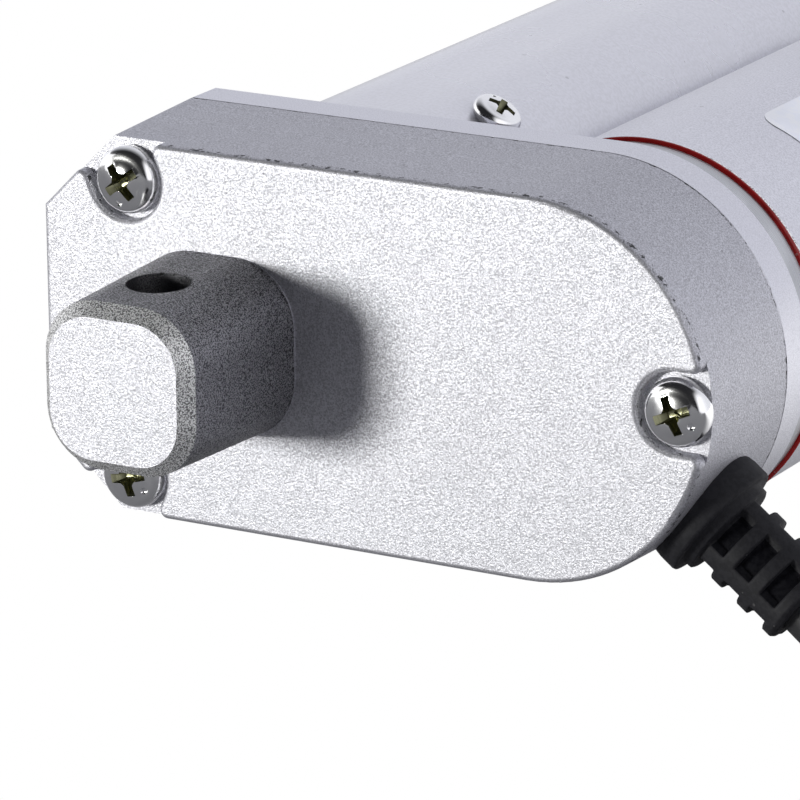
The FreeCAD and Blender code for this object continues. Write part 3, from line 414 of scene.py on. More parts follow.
addStageFloor()
addSky()
for lampName, lampLook in lamps.items():
    addLamp(lampName, lampLook)
scene.view_settings.view_transform = "Standard"

print("stage: shared effects")


def startGroup(name, inputs, outputs):
    tree = bpy.data.node_groups.new(name, "ShaderNodeTree")
    for label, kind, value in inputs:
        socket = tree.interface.new_socket(label, in_out="INPUT", socket_type="NodeSocket" + kind)
        if value is not None:
            socket.default_value = value
    for label in outputs:
        tree.interface.new_socket(label, in_out="OUTPUT", socket_type="NodeSocketFloat")
    return tree, tree.nodes.new("NodeGroupInput").outputs, tree.nodes.new("NodeGroupOutput").inputs


# Scales of the cells and of the pits' noise are shares of the grain's own scale
grainMix = {
    "tone": (0.32, 0.66), "cells": 0.7, "pitNoise": 0.45, "bump": 1.2, "cellBump": 0.4,
    "pitLimit": 0.78, "pitGain": 0.2, "pitEdge": 14.0,
}


def addNoise(tree, vector, scale, detail, roughness=0.5):
    inputs = {"Vector": vector, "Scale": scale, "Detail": detail, "Roughness": roughness}
    return addNode(tree, "ShaderNodeTexNoise", inputs).outputs[0]


def makeSandGrain():
    # Sandy coat: a fine bumpy grain with scattered small pits
    inputs = [("Vector", "Vector", None), ("Scale", "Float", 3000.0), ("Pits", "Float", 0.4)]
    tree, given, result = startGroup("sandGrain", inputs, ["Tone", "Height", "Pit"])
    mix = grainMix
    fine = addNoise(tree, given["Vector"], given["Scale"], 2.0, 0.6)
    cellScale = addProduct(tree, given["Scale"], mix["cells"])
    cells = addNode(tree, "ShaderNodeTexVoronoi", {"Vector": given["Vector"], "Scale": cellScale})
    coarse = addNoise(tree, given["Vector"], addProduct(tree, given["Scale"], mix["pitNoise"]), 3.0)
    tree.links.new(addRange(tree, fine, *mix["tone"]), result["Tone"])
    dents = addProduct(tree, cells.outputs["Distance"], mix["cellBump"])
    bumps = addMath(tree, "SUBTRACT", addProduct(tree, fine, mix["bump"]), dents)
    tree.links.new(bumps, result["Height"])
    more = addProduct(tree, given["Pits"], mix["pitGain"])
    limit = addMath(tree, "SUBTRACT", mix["pitLimit"], more)
    pit = addMath(tree, "MULTIPLY", addMath(tree, "SUBTRACT", coarse, limit), mix["pitEdge"], clamp=True)
    tree.links.new(pit, result["Pit"])
    return tree


def makeSoftMottle():
    # Broad cloudy change of tone, as handling and casting leave it
    inputs = [("Vector", "Vector", None), ("Scale", "Float", 60.0)]
    tree, given, result = startGroup("softMottle", inputs, ["Tone"])
    cloud = addNoise(tree, given["Vector"], given["Scale"], 4.0, 0.55)
    tree.links.new(addRange(tree, cloud, 0.3, 0.7), result["Tone"])
    return tree


chipMix = {"limit": 0.75, "gain": 0.4, "edge": 12.0}


def makeChips():
    # Small chips where a band of the surface allows them
    inputs = [("Vector", "Vector", None), ("Scale", "Float", 500.0)]
    inputs += [("Band", "Float", 1.0), ("Share", "Float", 0.4)]
    tree, given, result = startGroup("chips", inputs, ["Chip"])
    spots = addNoise(tree, given["Vector"], given["Scale"], 3.0, 0.7)
    more = addProduct(tree, given["Share"], chipMix["gain"])
    limit = addMath(tree, "SUBTRACT", chipMix["limit"], more)
    chip = addMath(tree, "MULTIPLY", addMath(tree, "SUBTRACT", spots, limit), chipMix["edge"], clamp=True)
    tree.links.new(addProduct(tree, chip, given["Band"]), result["Chip"])
    return tree


def makeSpecks():
    # Sparse dust and lint specks
    inputs = [("Vector", "Vector", None), ("Scale", "Float", 700.0), ("Size", "Float", 0.12)]
    tree, given, result = startGroup("specks", inputs, ["Speck"])
    dots = addNode(tree, "ShaderNodeTexVoronoi", {"Vector": given["Vector"], "Scale": given["Scale"]})
    near = addMath(tree, "LESS_THAN", dots.outputs["Distance"], given["Size"])
    pick = addNode(tree, "ShaderNodeSeparateColor", {0: dots.outputs["Color"]}).outputs[0]
    chosen = addMath(tree, "GREATER_THAN", pick, 0.8)
    tree.links.new(addProduct(tree, near, chosen), result["Speck"])
    return tree


def makeLatheLines():
    # Fine lines round the axis along Y, as turning and grinding leave them
    inputs = [("Vector", "Vector", None), ("Scale", "Float", 4000.0), ("Across", "Float", 0.02)]
    tree, given, result = startGroup("latheLines", inputs, ["Lines"])
    parts = addSplit(tree, given["Vector"])
    sides = {way: addProduct(tree, parts[way], given["Across"]) for way in ("X", "Z")}
    squeezed = addNode(tree, "ShaderNodeCombineXYZ", dict(sides, Y=parts["Y"])).outputs[0]
    lines = addNoise(tree, squeezed, given["Scale"], 2.0, 0.7)
    tree.links.new(addRange(tree, lines, 0.3, 0.7), result["Lines"])
    return tree


effects = {
    "sandGrain": makeSandGrain(),
    "softMottle": makeSoftMottle(),
    "chips": makeChips(),
    "specks": makeSpecks(),
    "latheLines": makeLatheLines(),
}


def useEffect(tree, name, inputs):
    return addNode(tree, "ShaderNodeGroup", inputs, node_tree=effects[name]).outputs


def addGrain(tree, place, scale, pits=0.0):
    return useEffect(tree, "sandGrain", {"Vector": place, "Scale": scale, "Pits": pits})


def addCloud(tree, place, scale):
    return useEffect(tree, "softMottle", {"Vector": place, "Scale": scale})["Tone"]


def addSpecks(tree, place, scale, size, share):
    speck = useEffect(tree, "specks", {"Vector": place, "Scale": scale, "Size": size})["Speck"]
    return addProduct(tree, speck, share)


print("stage: materials")


def startMaterial(name, look):
    # A shader with its steady values set on it, and the object's own coordinates
    material = bpy.data.materials.new(name)
    material.use_nodes = True
    tree = material.node_tree
    tree.nodes.clear()
    output = tree.nodes.new("ShaderNodeOutputMaterial")
    shader = tree.nodes.new("ShaderNodeBsdfPrincipled")
    tree.links.new(shader.outputs[0], output.inputs["Surface"])
    for key, value in look.get("shader", {}).items():
        shader.inputs[key].default_value = value
    place = tree.nodes.new("ShaderNodeTexCoord").outputs["Object"]
    return material, tree, shader, place


def addBump(tree, shader, height, reachMm, strength=1.0):
    bump = addNode(tree, "ShaderNodeBump", {"Height": height, "Distance": reachMm * mm, "Strength": strength})
    tree.links.new(bump.outputs["Normal"], shader.inputs["Normal"])


def bandMask(tree, value, band):
    # 1 between a band's two places and 0 outside, with sides as soft as its third value
    lowMm, highMm, softMm = band
    rise = addRange(tree, value, (lowMm - softMm) * mm, lowMm * mm)
    fall = addRange(tree, value, highMm * mm, (highMm + softMm) * mm)
    return addProduct(tree, rise, addMath(tree, "SUBTRACT", 1.0, fall))


castLook = {
    "tones": {
        "cast_zinc": {
            "pale": (0.66, 0.66, 0.71, 1), "shade": (0.42, 0.42, 0.455, 1), "pits": 0.45, "rough": 0.60,
        },
        "cast_plate": {
            "pale": (0.76, 0.76, 0.82, 1), "shade": (0.66, 0.66, 0.71, 1), "pits": 0.15, "rough": 0.44,
        },
    },
    "pit": (0.16, 0.15, 0.17, 1), "pitShare": 0.75, "pitDepth": 0.8,
    "chip": (0.02, 0.02, 0.02, 1), "chipShare": 0.9, "chipDepth": 1.5, "chipScale": 1100.0, "chipCount": 0.54,
    "grainScale": 6200.0, "cloudScale": 90.0, "cloudShare": 0.10, "paleRough": -0.12,
    "relief": 0.041, "reliefStrength": 0.8,
    # Bands of dark chips along the part, the rear edge's also a painted groove shade: from, to, softness
    "partingMm": (26.88, 27.15, 0.05), "rearEdgeMm": (10.85, 11.20, 0.3), "footMm": (9.90, 10.24, 0.06),
    "shader": {"Metallic": 0.9},
}
clevisLook = {
    "halfMm": 9.35, "endMm": 10.2, "fadeMm": 0.15, "speckleScale": 6820.0,
    # The flank colours are painted shade, speckled between a dark and a paler tone; the bevel colour is a
    # painted highlight
    "paintedFlankShade": (0.05, 0.05, 0.055, 1), "paintedFlankShadePale": (0.44, 0.44, 0.46, 1), "bevel": (1.0, 1.0, 1.0, 1),
    # The dark speckle colour also serves as the painted shade inside the clevis's hole
    "darkSpeckleAndHoleShade": (0.05, 0.05, 0.055, 1), "speckleSpan": (0.70, 0.25), "speckleShare": 0.85,
    # How far a face has to turn up, aside or endways to count, and where the painted shade on the sides
    # darkens
    "upSpan": (0.15, 0.8), "asideSpan": (0.75, 0.95), "sideShadeMm": (-10.0, 12.0), "sideShadeShare": 0.92,
    "bevelSpan": (0.2, 0.5), "bevelEnd": (0.92, 0.85), "frontSpan": (0.95, 0.85),
    "holeMm": 3.2, "holeWallMm": 0.08, "holeShadeShare": 0.9, "rimMm": 0.45, "rimHeightMm": (8.0, 8.6),
}


def holeReach(tree, parts):
    # How far a place lies from the axis of the clevis's hole
    flat = addNode(tree, "ShaderNodeCombineXYZ", {"X": parts["X"], "Y": parts["Y"]}).outputs[0]
    return addNode(tree, "ShaderNodeVectorMath", {0: flat}, operation="LENGTH").outputs["Value"]


def chipAndShadeBands(tree, parts, onClevis):
    # Dark chips along the parting line, the rounded rear edge, the clevis's foot and the hole's rim; on the
    # rear edge they also stand for painted shade in a small groove
    look, clevis = castLook, clevisLook
    along = parts["Y"]
    outer = clevis["holeMm"] + clevis["rimMm"]
    near = addRange(tree, holeReach(tree, parts), outer * mm, clevis["holeMm"] * mm)
    low, high = clevis["rimHeightMm"]
    rim = addProduct(tree, near, addRange(tree, addMath(tree, "ABSOLUTE", parts["Z"]), low * mm, high * mm))
    foot = addProduct(tree, onClevis, bandMask(tree, along, look["footMm"]))
    return addMost(
        tree, bandMask(tree, along, look["partingMm"]), bandMask(tree, along, look["rearEdgeMm"]), foot, rim
    )


def clevisTone(tree, tone, place, parts, onClevis):
    # The clevis block's flanks get a painted shade, darker than the coat round them, its sides more so
    # towards the cover
    look = clevisLook
    along = parts["Y"]
    facing = addSplit(tree, tree.nodes.new("ShaderNodeTexCoord").outputs["Normal"])
    upright, aside, endways = (addMath(tree, "ABSOLUTE", facing[way]) for way in ("Z", "X", "Y"))
    low, high = look["sideShadeMm"]
    paintedSideShade = addRange(tree, along, low * mm, high * mm, 0.0, look["sideShadeShare"])
    sides = addProduct(tree, addRange(tree, aside, *look["asideSpan"]), paintedSideShade)
    ending = addRange(tree, along, (look["endMm"] + look["fadeMm"]) * mm, look["endMm"] * mm)
    paintedFlankShade = addProduct(tree, onClevis, ending, addMost(tree, addRange(tree, upright, *look["upSpan"]), sides))
    coarse = addGrain(tree, place, look["speckleScale"])["Tone"]
    tone = addBlend(tree, paintedFlankShade, tone, addBlend(tree, coarse, look["paintedFlankShade"], look["paintedFlankShadePale"]))
    # Round the block's front edge a painted highlight makes the coat brighter, and all but its front face is
    # speckled
    before = addProduct(tree, onClevis, addMath(tree, "LESS_THAN", along, look["endMm"] * mm))
    bevel = addProduct(
        tree, addRange(tree, endways, *look["bevelSpan"]), addRange(tree, endways, *look["bevelEnd"]), before
    )
    tone = addBlend(tree, bevel, tone, look["bevel"])
    gaps = addRange(tree, coarse, *look["speckleSpan"], 0.0, look["speckleShare"])
    gaps = addProduct(tree, before, addRange(tree, endways, *look["frontSpan"]), gaps)
    tone = addBlend(tree, gaps, tone, look["darkSpeckleAndHoleShade"])
    # Inside the clevis's hole the coat gets a painted shade
    inside = addMath(tree, "LESS_THAN", holeReach(tree, parts), (look["holeMm"] + look["holeWallMm"]) * mm)
    return addBlend(tree, addProduct(tree, inside, look["holeShadeShare"]), tone, look["darkSpeckleAndHoleShade"])


def makeCastZinc(name):
    look, own = castLook, castLook["tones"][name]
    material, tree, shader, place = startMaterial(name, look)
    grain = addGrain(tree, place, look["grainScale"], own["pits"])
    parts = addSplit(tree, place)
    aside, upright = (addMath(tree, "ABSOLUTE", parts[way]) for way in ("X", "Z"))
    onClevis = addMath(tree, "LESS_THAN", addMost(tree, aside, upright), clevisLook["halfMm"] * mm)
    chipAndShadeBand = chipAndShadeBands(tree, parts, onClevis)
    chip = useEffect(
        tree, "chips", {"Vector": place, "Scale": look["chipScale"], "Band": chipAndShadeBand, "Share": look["chipCount"]}
    )["Chip"]
    tone = addBlend(tree, grain["Tone"], own["shade"], own["pale"])
    cloud = addShare(tree, addCloud(tree, place, look["cloudScale"]), look["cloudShare"])
    tone = addBlend(tree, cloud, tone, own["shade"])
    tone = addBlend(tree, addShare(tree, grain["Pit"], look["pitShare"]), tone, look["pit"])
    tone = clevisTone(tree, tone, place, parts, onClevis)
    tone = addBlend(tree, addShare(tree, chip, look["chipShare"]), tone, look["chip"])
    tree.links.new(tone, shader.inputs["Base Color"])
    rough = addMath(tree, "ADD", own["rough"], addProduct(tree, grain["Tone"], look["paleRough"]))
    tree.links.new(rough, shader.inputs["Roughness"])
    dents = addProduct(tree, grain["Pit"], look["pitDepth"])
    height = addMath(tree, "SUBTRACT", grain["Height"], dents)
    height = addMath(tree, "SUBTRACT", height, addProduct(tree, chip, look["chipDepth"]))
    addBump(tree, shader, height, look["relief"], look["reliefStrength"])
    return material


coatLooks = {
    "painted_tube": {
        "pale": (0.84, 0.84, 0.90, 1), "shade": (0.76, 0.76, 0.81, 1), "scale": 2600.0, "relief": 0.003,
        "rough": 0.28, "shader": {"Metallic": 0.6, "Coat Weight": 0.35, "Coat Roughness": 0.12},
    },
    "silver_motor_tube": {
        "pale": (0.84, 0.84, 0.90, 1), "shade": (0.66, 0.66, 0.71, 1), "scale": 5200.0, "relief": 0.012,
        "rough": 0.40, "shader": {"Metallic": 0.8}, "edgeMm": (35.5, 35.78, 0.3),
    },
}
coatWear = {
    "pits": 0.1, "cloudScale": 40.0, "cloudShare": 0.15, "roughSpan": (-0.01, 0.02),
    "speckScale": 320.0, "speckSize": 0.09, "speckShare": 0.35, "speck": (0.25, 0.25, 0.27, 1),
    # The edge's pale colour is a painted highlight on the tube's cut edge
    "edgeSpan": (0.2, 0.6), "edgeDark": (0.22, 0.21, 0.2, 1), "paintedEdgeHighlight": (1.0, 1.0, 0.98, 1),
}


def linkRough(tree, shader, value, middle, span):
    # Roughness that follows a value within a span about its middle
    rough = addRange(tree, value, 0.0, 1.0, middle + span[0], middle + span[1])
    tree.links.new(rough, shader.inputs["Roughness"])


def makeCoat(name, look):
    material, tree, shader, place = startMaterial(name, look)
    wear = coatWear
    grain = addGrain(tree, place, look["scale"], wear["pits"])
    cloud = addCloud(tree, place, wear["cloudScale"])
    tone = addBlend(tree, grain["Tone"], look["shade"], look["pale"])
    tone = addBlend(tree, addShare(tree, cloud, wear["cloudShare"]), tone, look["shade"])
    specks = addSpecks(tree, place, wear["speckScale"], wear["speckSize"], wear["speckShare"])
    tone = addBlend(tree, specks, tone, wear["speck"])
    if "edgeMm" in look:
        # The cut edge of the tube gets a painted highlight, speckled with dark spots
        edge = bandMask(tree, addSplit(tree, place)["Y"], look["edgeMm"])
        spots = addRange(tree, grain["Tone"], *wear["edgeSpan"])
        tone = addBlend(tree, edge, tone, addBlend(tree, spots, wear["edgeDark"], wear["paintedEdgeHighlight"]))
    tree.links.new(tone, shader.inputs["Base Color"])
    linkRough(tree, shader, cloud, look["rough"], wear["roughSpan"])
    addBump(tree, shader, grain["Height"], look["relief"])
    return material


rubberLooks = {
    "black_rubber": {
        "tint": (0.013, 0.013, 0.016, 1), "dust": 0.05, "rough": 0.66, "scale": 1800.0,
        "shader": {"Specular IOR Level": 0.22},
    },
    # A darker copy of the rubber: painted shade on the floors of the gland's windows
    "rubber_recess_painted_shade": {
        "tint": (0.005, 0.005, 0.007, 1), "dust": 0.0, "rough": 0.9, "scale": 1800.0,
        "shader": {"Specular IOR Level": 0.05},
    },
    "cable_jacket": {"tint": (0.014, 0.014, 0.016, 1), "dust": 0.04, "rough": 0.50, "scale": 1500.0},
    "black_plastic": {"tint": (0.018, 0.018, 0.02, 1), "dust": 0.03, "rough": 0.42, "scale": 2400.0},
    "gear_nylon": {"tint": (0.72, 0.69, 0.60, 1), "dust": 0.02, "rough": 0.45, "scale": 900.0},
    "nut_acetal": {"tint": (0.80, 0.80, 0.78, 1), "dust": 0.02, "rough": 0.40, "scale": 900.0},
    "brush_carbon": {"tint": (0.03, 0.03, 0.032, 1), "dust": 0.10, "rough": 0.65, "scale": 3000.0},
    "magnet_ferrite": {"tint": (0.06, 0.06, 0.065, 1), "dust": 0.08, "rough": 0.55, "scale": 2500.0},
    "circuit_board": {"tint": (0.02, 0.11, 0.05, 1), "dust": 0.02, "rough": 0.35, "scale": 1200.0},
    "label_film": {
        "tint": (0.92, 0.94, 1.0, 1), "dust": 0.0, "rough": 0.40, "scale": 700.0, "shader": {"Metallic": 0.8},
    },
    "lead_red": {"tint": (0.42, 0.02, 0.02, 1), "dust": 0.02, "rough": 0.38, "scale": 1500.0},
    "lead_black": {"tint": (0.02, 0.02, 0.022, 1), "dust": 0.02, "rough": 0.38, "scale": 1500.0},
}
mouldedWear = {
    "cloudScale": 120.0, "toneShare": 0.5, "lighten": 1.5, "lift": 0.006, "dust": 0.5, "dustShare": 0.5,
    "speckScale": 900.0, "speckSize": 0.14, "speckGain": 4, "roughSpan": (-0.06, 0.08), "relief": 0.012,
}


def makeMoulded(name, look):
    # Rubber and plastic: a fine skin, a few dust specks, faint cloudy tone
    material, tree, shader, place = startMaterial(name, look)
    wear = mouldedWear
    grain = addGrain(tree, place, look["scale"])
    tint = look["tint"][:3]
    lighter = tuple(min(1.0, part * wear["lighten"] + wear["lift"]) for part in tint) + (1,)
    dusty = tuple(part + (wear["dust"] - part) * wear["dustShare"] for part in tint) + (1,)
    tone = addBlend(tree, addShare(tree, grain["Tone"], wear["toneShare"]), look["tint"], lighter)
    specks = addSpecks(tree, place, wear["speckScale"], wear["speckSize"], look["dust"] * wear["speckGain"])
    tree.links.new(addBlend(tree, specks, tone, dusty), shader.inputs["Base Color"])
    linkRough(tree, shader, addCloud(tree, place, wear["cloudScale"]), look["rough"], wear["roughSpan"])
    addBump(tree, shader, grain["Height"], wear["relief"])
    return material


metalLooks = {
    "bright_screw": {"tint": (0.94, 0.94, 0.94), "dark": (0.84, 0.84, 0.85), "rough": 0.14, "lines": 900.0},
    # The cross recess is painted darker than the head, as shade
    "screw_recess_painted_shade": {"tint": (0.24, 0.24, 0.15), "dark": (0.06, 0.06, 0.04), "rough": 0.30, "lines": 2500.0},
    "ground_steel": {"tint": (0.62, 0.62, 0.63), "dark": (0.45, 0.45, 0.46), "rough": 0.26, "lines": 5000.0},
    "spring_steel": {"tint": (0.26, 0.26, 0.28), "dark": (0.16, 0.16, 0.18), "rough": 0.34, "lines": 3000.0},
    "bearing_steel": {"tint": (0.72, 0.72, 0.74), "dark": (0.58, 0.58, 0.60), "rough": 0.14, "lines": 6000.0},
    "rod_steel": {"tint": (0.80, 0.80, 0.81), "dark": (0.68, 0.68, 0.70), "rough": 0.13, "lines": 7000.0},
    "rod_aluminium": {"tint": (0.80, 0.80, 0.81), "dark": (0.62, 0.62, 0.64), "rough": 0.28, "lines": 4500.0},
    "bush_bronze": {"tint": (0.60, 0.40, 0.20), "dark": (0.34, 0.21, 0.10), "rough": 0.36, "lines": 3500.0},
    "terminal_brass": {"tint": (0.78, 0.6, 0.28), "dark": (0.6, 0.42, 0.18), "rough": 0.24, "lines": 2000.0},
    "motor_steel": {"tint": (0.55, 0.56, 0.58), "dark": (0.42, 0.43, 0.45), "rough": 0.30, "lines": 2500.0},
    "copper_wire": {"tint": (0.72, 0.33, 0.16), "dark": (0.42, 0.17, 0.08), "rough": 0.28, "lines": 2200.0},
}
metalWear = {
    "cloudScale": 220.0, "cloudShare": 0.6, "speckScale": 1100.0, "speckSize": 0.1, "speckShare": 0.5,
    "roughSpan": (-0.05, 0.08), "relief": 0.0015, "shader": {"Metallic": 1.0},
}


def makeMetal(name, look):
    # Turned and drawn metal: fine lines round the axis, faint stains
    wear = metalWear
    tint, dark = ((*look[part], 1) for part in ("tint", "dark"))
    material, tree, shader, place = startMaterial(name, wear)
    lines = useEffect(tree, "latheLines", {"Vector": place, "Scale": look["lines"]})["Lines"]
    stains = addShare(tree, addCloud(tree, place, wear["cloudScale"]), wear["cloudShare"])
    specks = addSpecks(tree, place, wear["speckScale"], wear["speckSize"], wear["speckShare"])
    tone = addBlend(tree, specks, addBlend(tree, stains, tint, dark), dark)
    tree.links.new(tone, shader.inputs["Base Color"])
    linkRough(tree, shader, lines, look["rough"], wear["roughSpan"])
    addBump(tree, shader, lines, wear["relief"])
    return material


gasketLook = {
    "deep": (0.32, 0.010, 0.010, 1), "red": (0.46, 0.016, 0.016, 1), "dust": (0.5, 0.3, 0.3, 1),
    "dustShare": 0.4, "cloudScale": 300.0, "speckScale": 900.0, "speckSize": 0.12, "relief": 0.01,
    "shader": {"Roughness": 0.24, "Specular IOR Level": 0.3, "Coat Weight": 0.15, "Coat Roughness": 0.1},
}


def makeGasketRed():
    look = gasketLook
    material, tree, shader, place = startMaterial("red_gasket", look)
    cloud = addCloud(tree, place, look["cloudScale"])
    tone = addBlend(tree, cloud, look["deep"], look["red"])
    specks = addSpecks(tree, place, look["speckScale"], look["speckSize"], look["dustShare"])
    tree.links.new(addBlend(tree, specks, tone, look["dust"]), shader.inputs["Base Color"])
    addBump(tree, shader, cloud, look["relief"])
    return material


tieLook = {
    "dark": (0.008, 0.008, 0.01, 1), "thread": (0.045, 0.045, 0.05, 1), "weaveScale": 700.0,
    "weaveDrift": 2.0, "loopScale": 2600.0, "relief": 0.12, "shader": {"Roughness": 0.9, "Sheen Weight": 0.3},
}


def makeTieFabric():
    # Woven hook-and-loop band: crossing threads and short loops
    look = tieLook
    material, tree, shader, place = startMaterial("tie_fabric", look)
    inputs = {"Vector": place, "Scale": look["weaveScale"], "Distortion": look["weaveDrift"]}
    weave = addNode(tree, "ShaderNodeTexWave", inputs).outputs[1]
    loops = addGrain(tree, place, look["loopScale"])["Tone"]
    tone = addBlend(tree, addProduct(tree, weave, loops), look["dark"], look["thread"])
    tree.links.new(tone, shader.inputs["Base Color"])
    addBump(tree, shader, addMath(tree, "ADD", weave, loops), look["relief"])
    return material


finishes = {
    "cast_zinc": makeCastZinc("cast_zinc"),
    "cast_plate": makeCastZinc("cast_plate"),
    "red_gasket": makeGasketRed(),
    "tie_fabric": makeTieFabric(),
}
for finishName, finishLook in coatLooks.items():
    finishes[finishName] = makeCoat(finishName, finishLook)
for finishName, finishLook in rubberLooks.items():
    finishes[finishName] = makeMoulded(finishName, finishLook)
for finishName, finishLook in metalLooks.items():
    finishes[finishName] = makeMetal(finishName, finishLook)

finishOfNode = {
    "cast_zinc": ["rear_cover"],
    "cast_plate": ["front_plate"],
    "painted_tube": ["outer_tube", "front_cap"],
    "silver_motor_tube": ["motor_tube"],
    "red_gasket": ["motor_gasket"],
    "black_rubber": ["rod_wiper", "cable_gland"],
    "cable_jacket": ["cable", "cable_coil", "cable_tail"],
    "tie_fabric": ["coil_tie"],
    "lead_red": ["cable_leads"],
    "black_plastic": ["motor_end_cap", "bearing_cage", "motor_end_bell", "limit_switches"],
    "gear_nylon": ["idler_wheel", "screw_gear"],
    "nut_acetal": ["drive_nut", "rear_plunger", "front_plunger"],
    "ground_steel": [
        "idler_pin", "idler_pinion", "motor_pinion", "screw_key", "lead_screw", "screw_spacer", "motor_shaft",
        "rod_pins",
    ],
    "spring_steel": ["screw_clip", "bearing_retainer"],
    "bearing_steel": ["bearing_outer_ring", "bearing_inner_ring", "bearing_balls"],
    "rod_steel": ["extension_rod"],
    "rod_aluminium": ["rod_end"],
    "bush_bronze": ["rod_bush", "screw_bush", "motor_bushes"],
    "terminal_brass": ["motor_terminals"],
    "motor_steel": ["motor_can", "armature_core"],
    "copper_wire": ["armature_windings", "commutator"],
    "brush_carbon": ["motor_brushes"],
    "magnet_ferrite": ["motor_magnets"],
    "circuit_board": ["switch_strip"],
    "bright_screw": ["cover_screws", "tube_screws", "tie_bolts", "motor_screws"],
}
for finishName, nodeNames in finishOfNode.items():
    for nodeName in nodeNames:
        for slot in cadNodes[nodeName].material_slots:
            slot.material = finishes[finishName]


def giveFinishes(data, *names):
    for name in names:
        data.materials.append(finishes[name])


giveFinishes(cableRun.data, "cable_jacket")
giveFinishes(glandSleeve.data, "black_rubber", "rubber_recess_painted_shade")
giveFinishes(leadWires.data, "lead_red", "lead_black", "copper_wire")

print("stage: screws")
# Cross-head screws: the place of each head's underside, the way its crown faces, and how far its
# cross is turned, in degrees
rearward, forward, tubeOut = (0, -1, 0), (0, 1, 0), (0.5446, 0, 0.8387)
screwSets = {
    "cover_screw_set": {
        "node": "cover_screws", "radius": 2.0, "length": 18.0, "headRadius": 3.5, "headHeight": 2.5,
        "places": [
            ((-10.3, 11.9, 15.4), rearward, -143), ((-10.3, 11.9, -15.4), rearward, -78),
            ((51.2, 11.9, 0.0), rearward, -67),
        ],
    },
    "tube_screw_set": {
        "node": "tube_screws", "radius": 1.5, "length": 5.5, "headRadius": 2.75, "headHeight": 1.8,
        "places": [
            ((sign * 9.82, along, sign * 15.2), tuple(sign * part for part in tubeOut), turn)
            for along, sign, turn in ((50.5, 1, 20), (50.5, -1, 65), (185.0, 1, 38), (185.0, -1, 5))
        ],
    },
    "tie_bolt_set": {
        "node": "tie_bolts", "radius": 1.5, "length": 99.3, "headRadius": 2.3, "headHeight": 1.5,
        "places": [((35.4, 128.6, 16.615), forward, 12), ((35.4, 128.6, -16.615), forward, 57)],
    },
    "motor_screw_set": {
        "node": "motor_screws", "radius": 1.5, "length": 7.0, "headRadius": 2.7, "headHeight": 1.8,
        "places": [((44.24, 27.0, 8.84), rearward, 30), ((26.56, 27.0, -8.84), rearward, 74)],
    },
}
# A head's form, and its cross, as shares of its radius or height
headForm = {
    "rim": 0.30, "crown": 0.20, "rimFoot": 0.25, "under": 0.985, "tip": 0.75, "tipMm": 0.5,
    "steps": 7, "segments": 56, "edgeMm": 0.09, "edgeSegments": 3, "edgeAngle": 35,
}
crossForm = {
    "reach": 0.62, "width": 0.145, "depth": 0.72, "mouth": (1.12, 1.08), "floor": (0.50, 0.60),
    "aboveMm": 0.35, "coneTop": 0.25, "coneDepth": 0.85, "coneTip": 0.10, "coneRadius": 0.47,
    "dimpleReach": 0.66, "dimpleRadius": 0.13, "dimpleHeight": 0.93, "dimpleTurn": 45,
}


def headProfile(look):
    # Half of a pan head, from the crown's middle out, down its rounded rim and in under it
    form = headForm
    radius, height, length, steps = look["headRadius"], look["headHeight"], look["length"], form["steps"]
    rim, crown = form["rim"] * radius, form["crown"] * height
    flat, fallStart = radius - rim, height - crown
    points = []
    for number in range(steps):
        across = flat * number / (steps - 1)
        points.append((across, height - crown * (across / flat) ** 2))
    drop = fallStart - form["rimFoot"] * height
    for number in range(1, steps):
        angle = math.radians(90 * number / (steps - 1))
        points.append((flat + rim * math.sin(angle), fallStart - drop * (1 - math.cos(angle))))
    points += [(radius * form["under"], 0.0), (look["radius"], 0.0), (look["radius"], form["tipMm"] - length)]
    points += [(look["radius"] * form["tip"], -length), (0.0, -length)]
    return points


def cutterFrom(name, bm):
    cutter = bpy.data.objects.new(name, meshFrom(name, bm, False))
    scene.collection.objects.link(cutter)
    return cutter


def coneCutter(name, look):
    # The middle of the cross, wider than its bars
    radius, height = look["headRadius"], look["headHeight"]
    top, deep = crossForm["coneTop"] * height, crossForm["coneDepth"] * height
    bm = bmesh.new()
    bmesh.ops.create_cone(
        bm, cap_ends=True, segments=4, radius1=crossForm["coneTip"] * radius * mm,
        radius2=crossForm["coneRadius"] * radius * mm, depth=(top + deep) * mm,
    )
    bmesh.ops.translate(bm, verts=bm.verts, vec=(0, 0, (height + (top - deep) / 2) * mm))
    return cutterFrom(name, bm)


def crossCutter(name, look, turn):
    # One bar of the cross: a block that narrows downwards
    reach, width = crossForm["reach"] * look["headRadius"], crossForm["width"] * look["headRadius"]
    bm = bmesh.new()
    bmesh.ops.create_cube(bm, size=2)
    for vert in bm.verts:
        lower = vert.co.z < 0
        longer, wider = crossForm["floor" if lower else "mouth"]
        rise = -crossForm["depth"] * look["headHeight"] if lower else crossForm["aboveMm"]
        vert.co = (vert.co.x * (reach * longer), vert.co.y * (width * wider), look["headHeight"] + rise)
    bmesh.ops.scale(bm, vec=(mm, mm, mm), verts=bm.verts)
    bmesh.ops.rotate(bm, verts=bm.verts, matrix=Matrix.Rotation(turn, 3, "Z"))
    return cutterFrom(name, bm)


def dimpleCutter(name, look):
    # The small punched mark between two arms of the cross
    form = crossForm
    bm = bmesh.new()
    bmesh.ops.create_uvsphere(
        bm, u_segments=16, v_segments=10, radius=form["dimpleRadius"] * look["headRadius"] * mm
    )
    spot = Vector((form["dimpleReach"] * look["headRadius"], 0, look["headHeight"] * form["dimpleHeight"]))
    turn = Matrix.Rotation(math.radians(form["dimpleTurn"]), 3, "Z")
    bmesh.ops.translate(bm, verts=bm.verts, vec=turn @ spot * mm)
    return cutterFrom(name, bm)


def finishedMesh(thing, helpers):
    # The mesh as the object's modifiers leave it; the object and its helpers go
    bpy.context.view_layer.update()
    graph = bpy.context.evaluated_depsgraph_get()
    mesh = bpy.data.meshes.new_from_object(thing.evaluated_get(graph))
    for extra in [thing, *helpers]:
        bpy.data.objects.remove(extra)
    return mesh


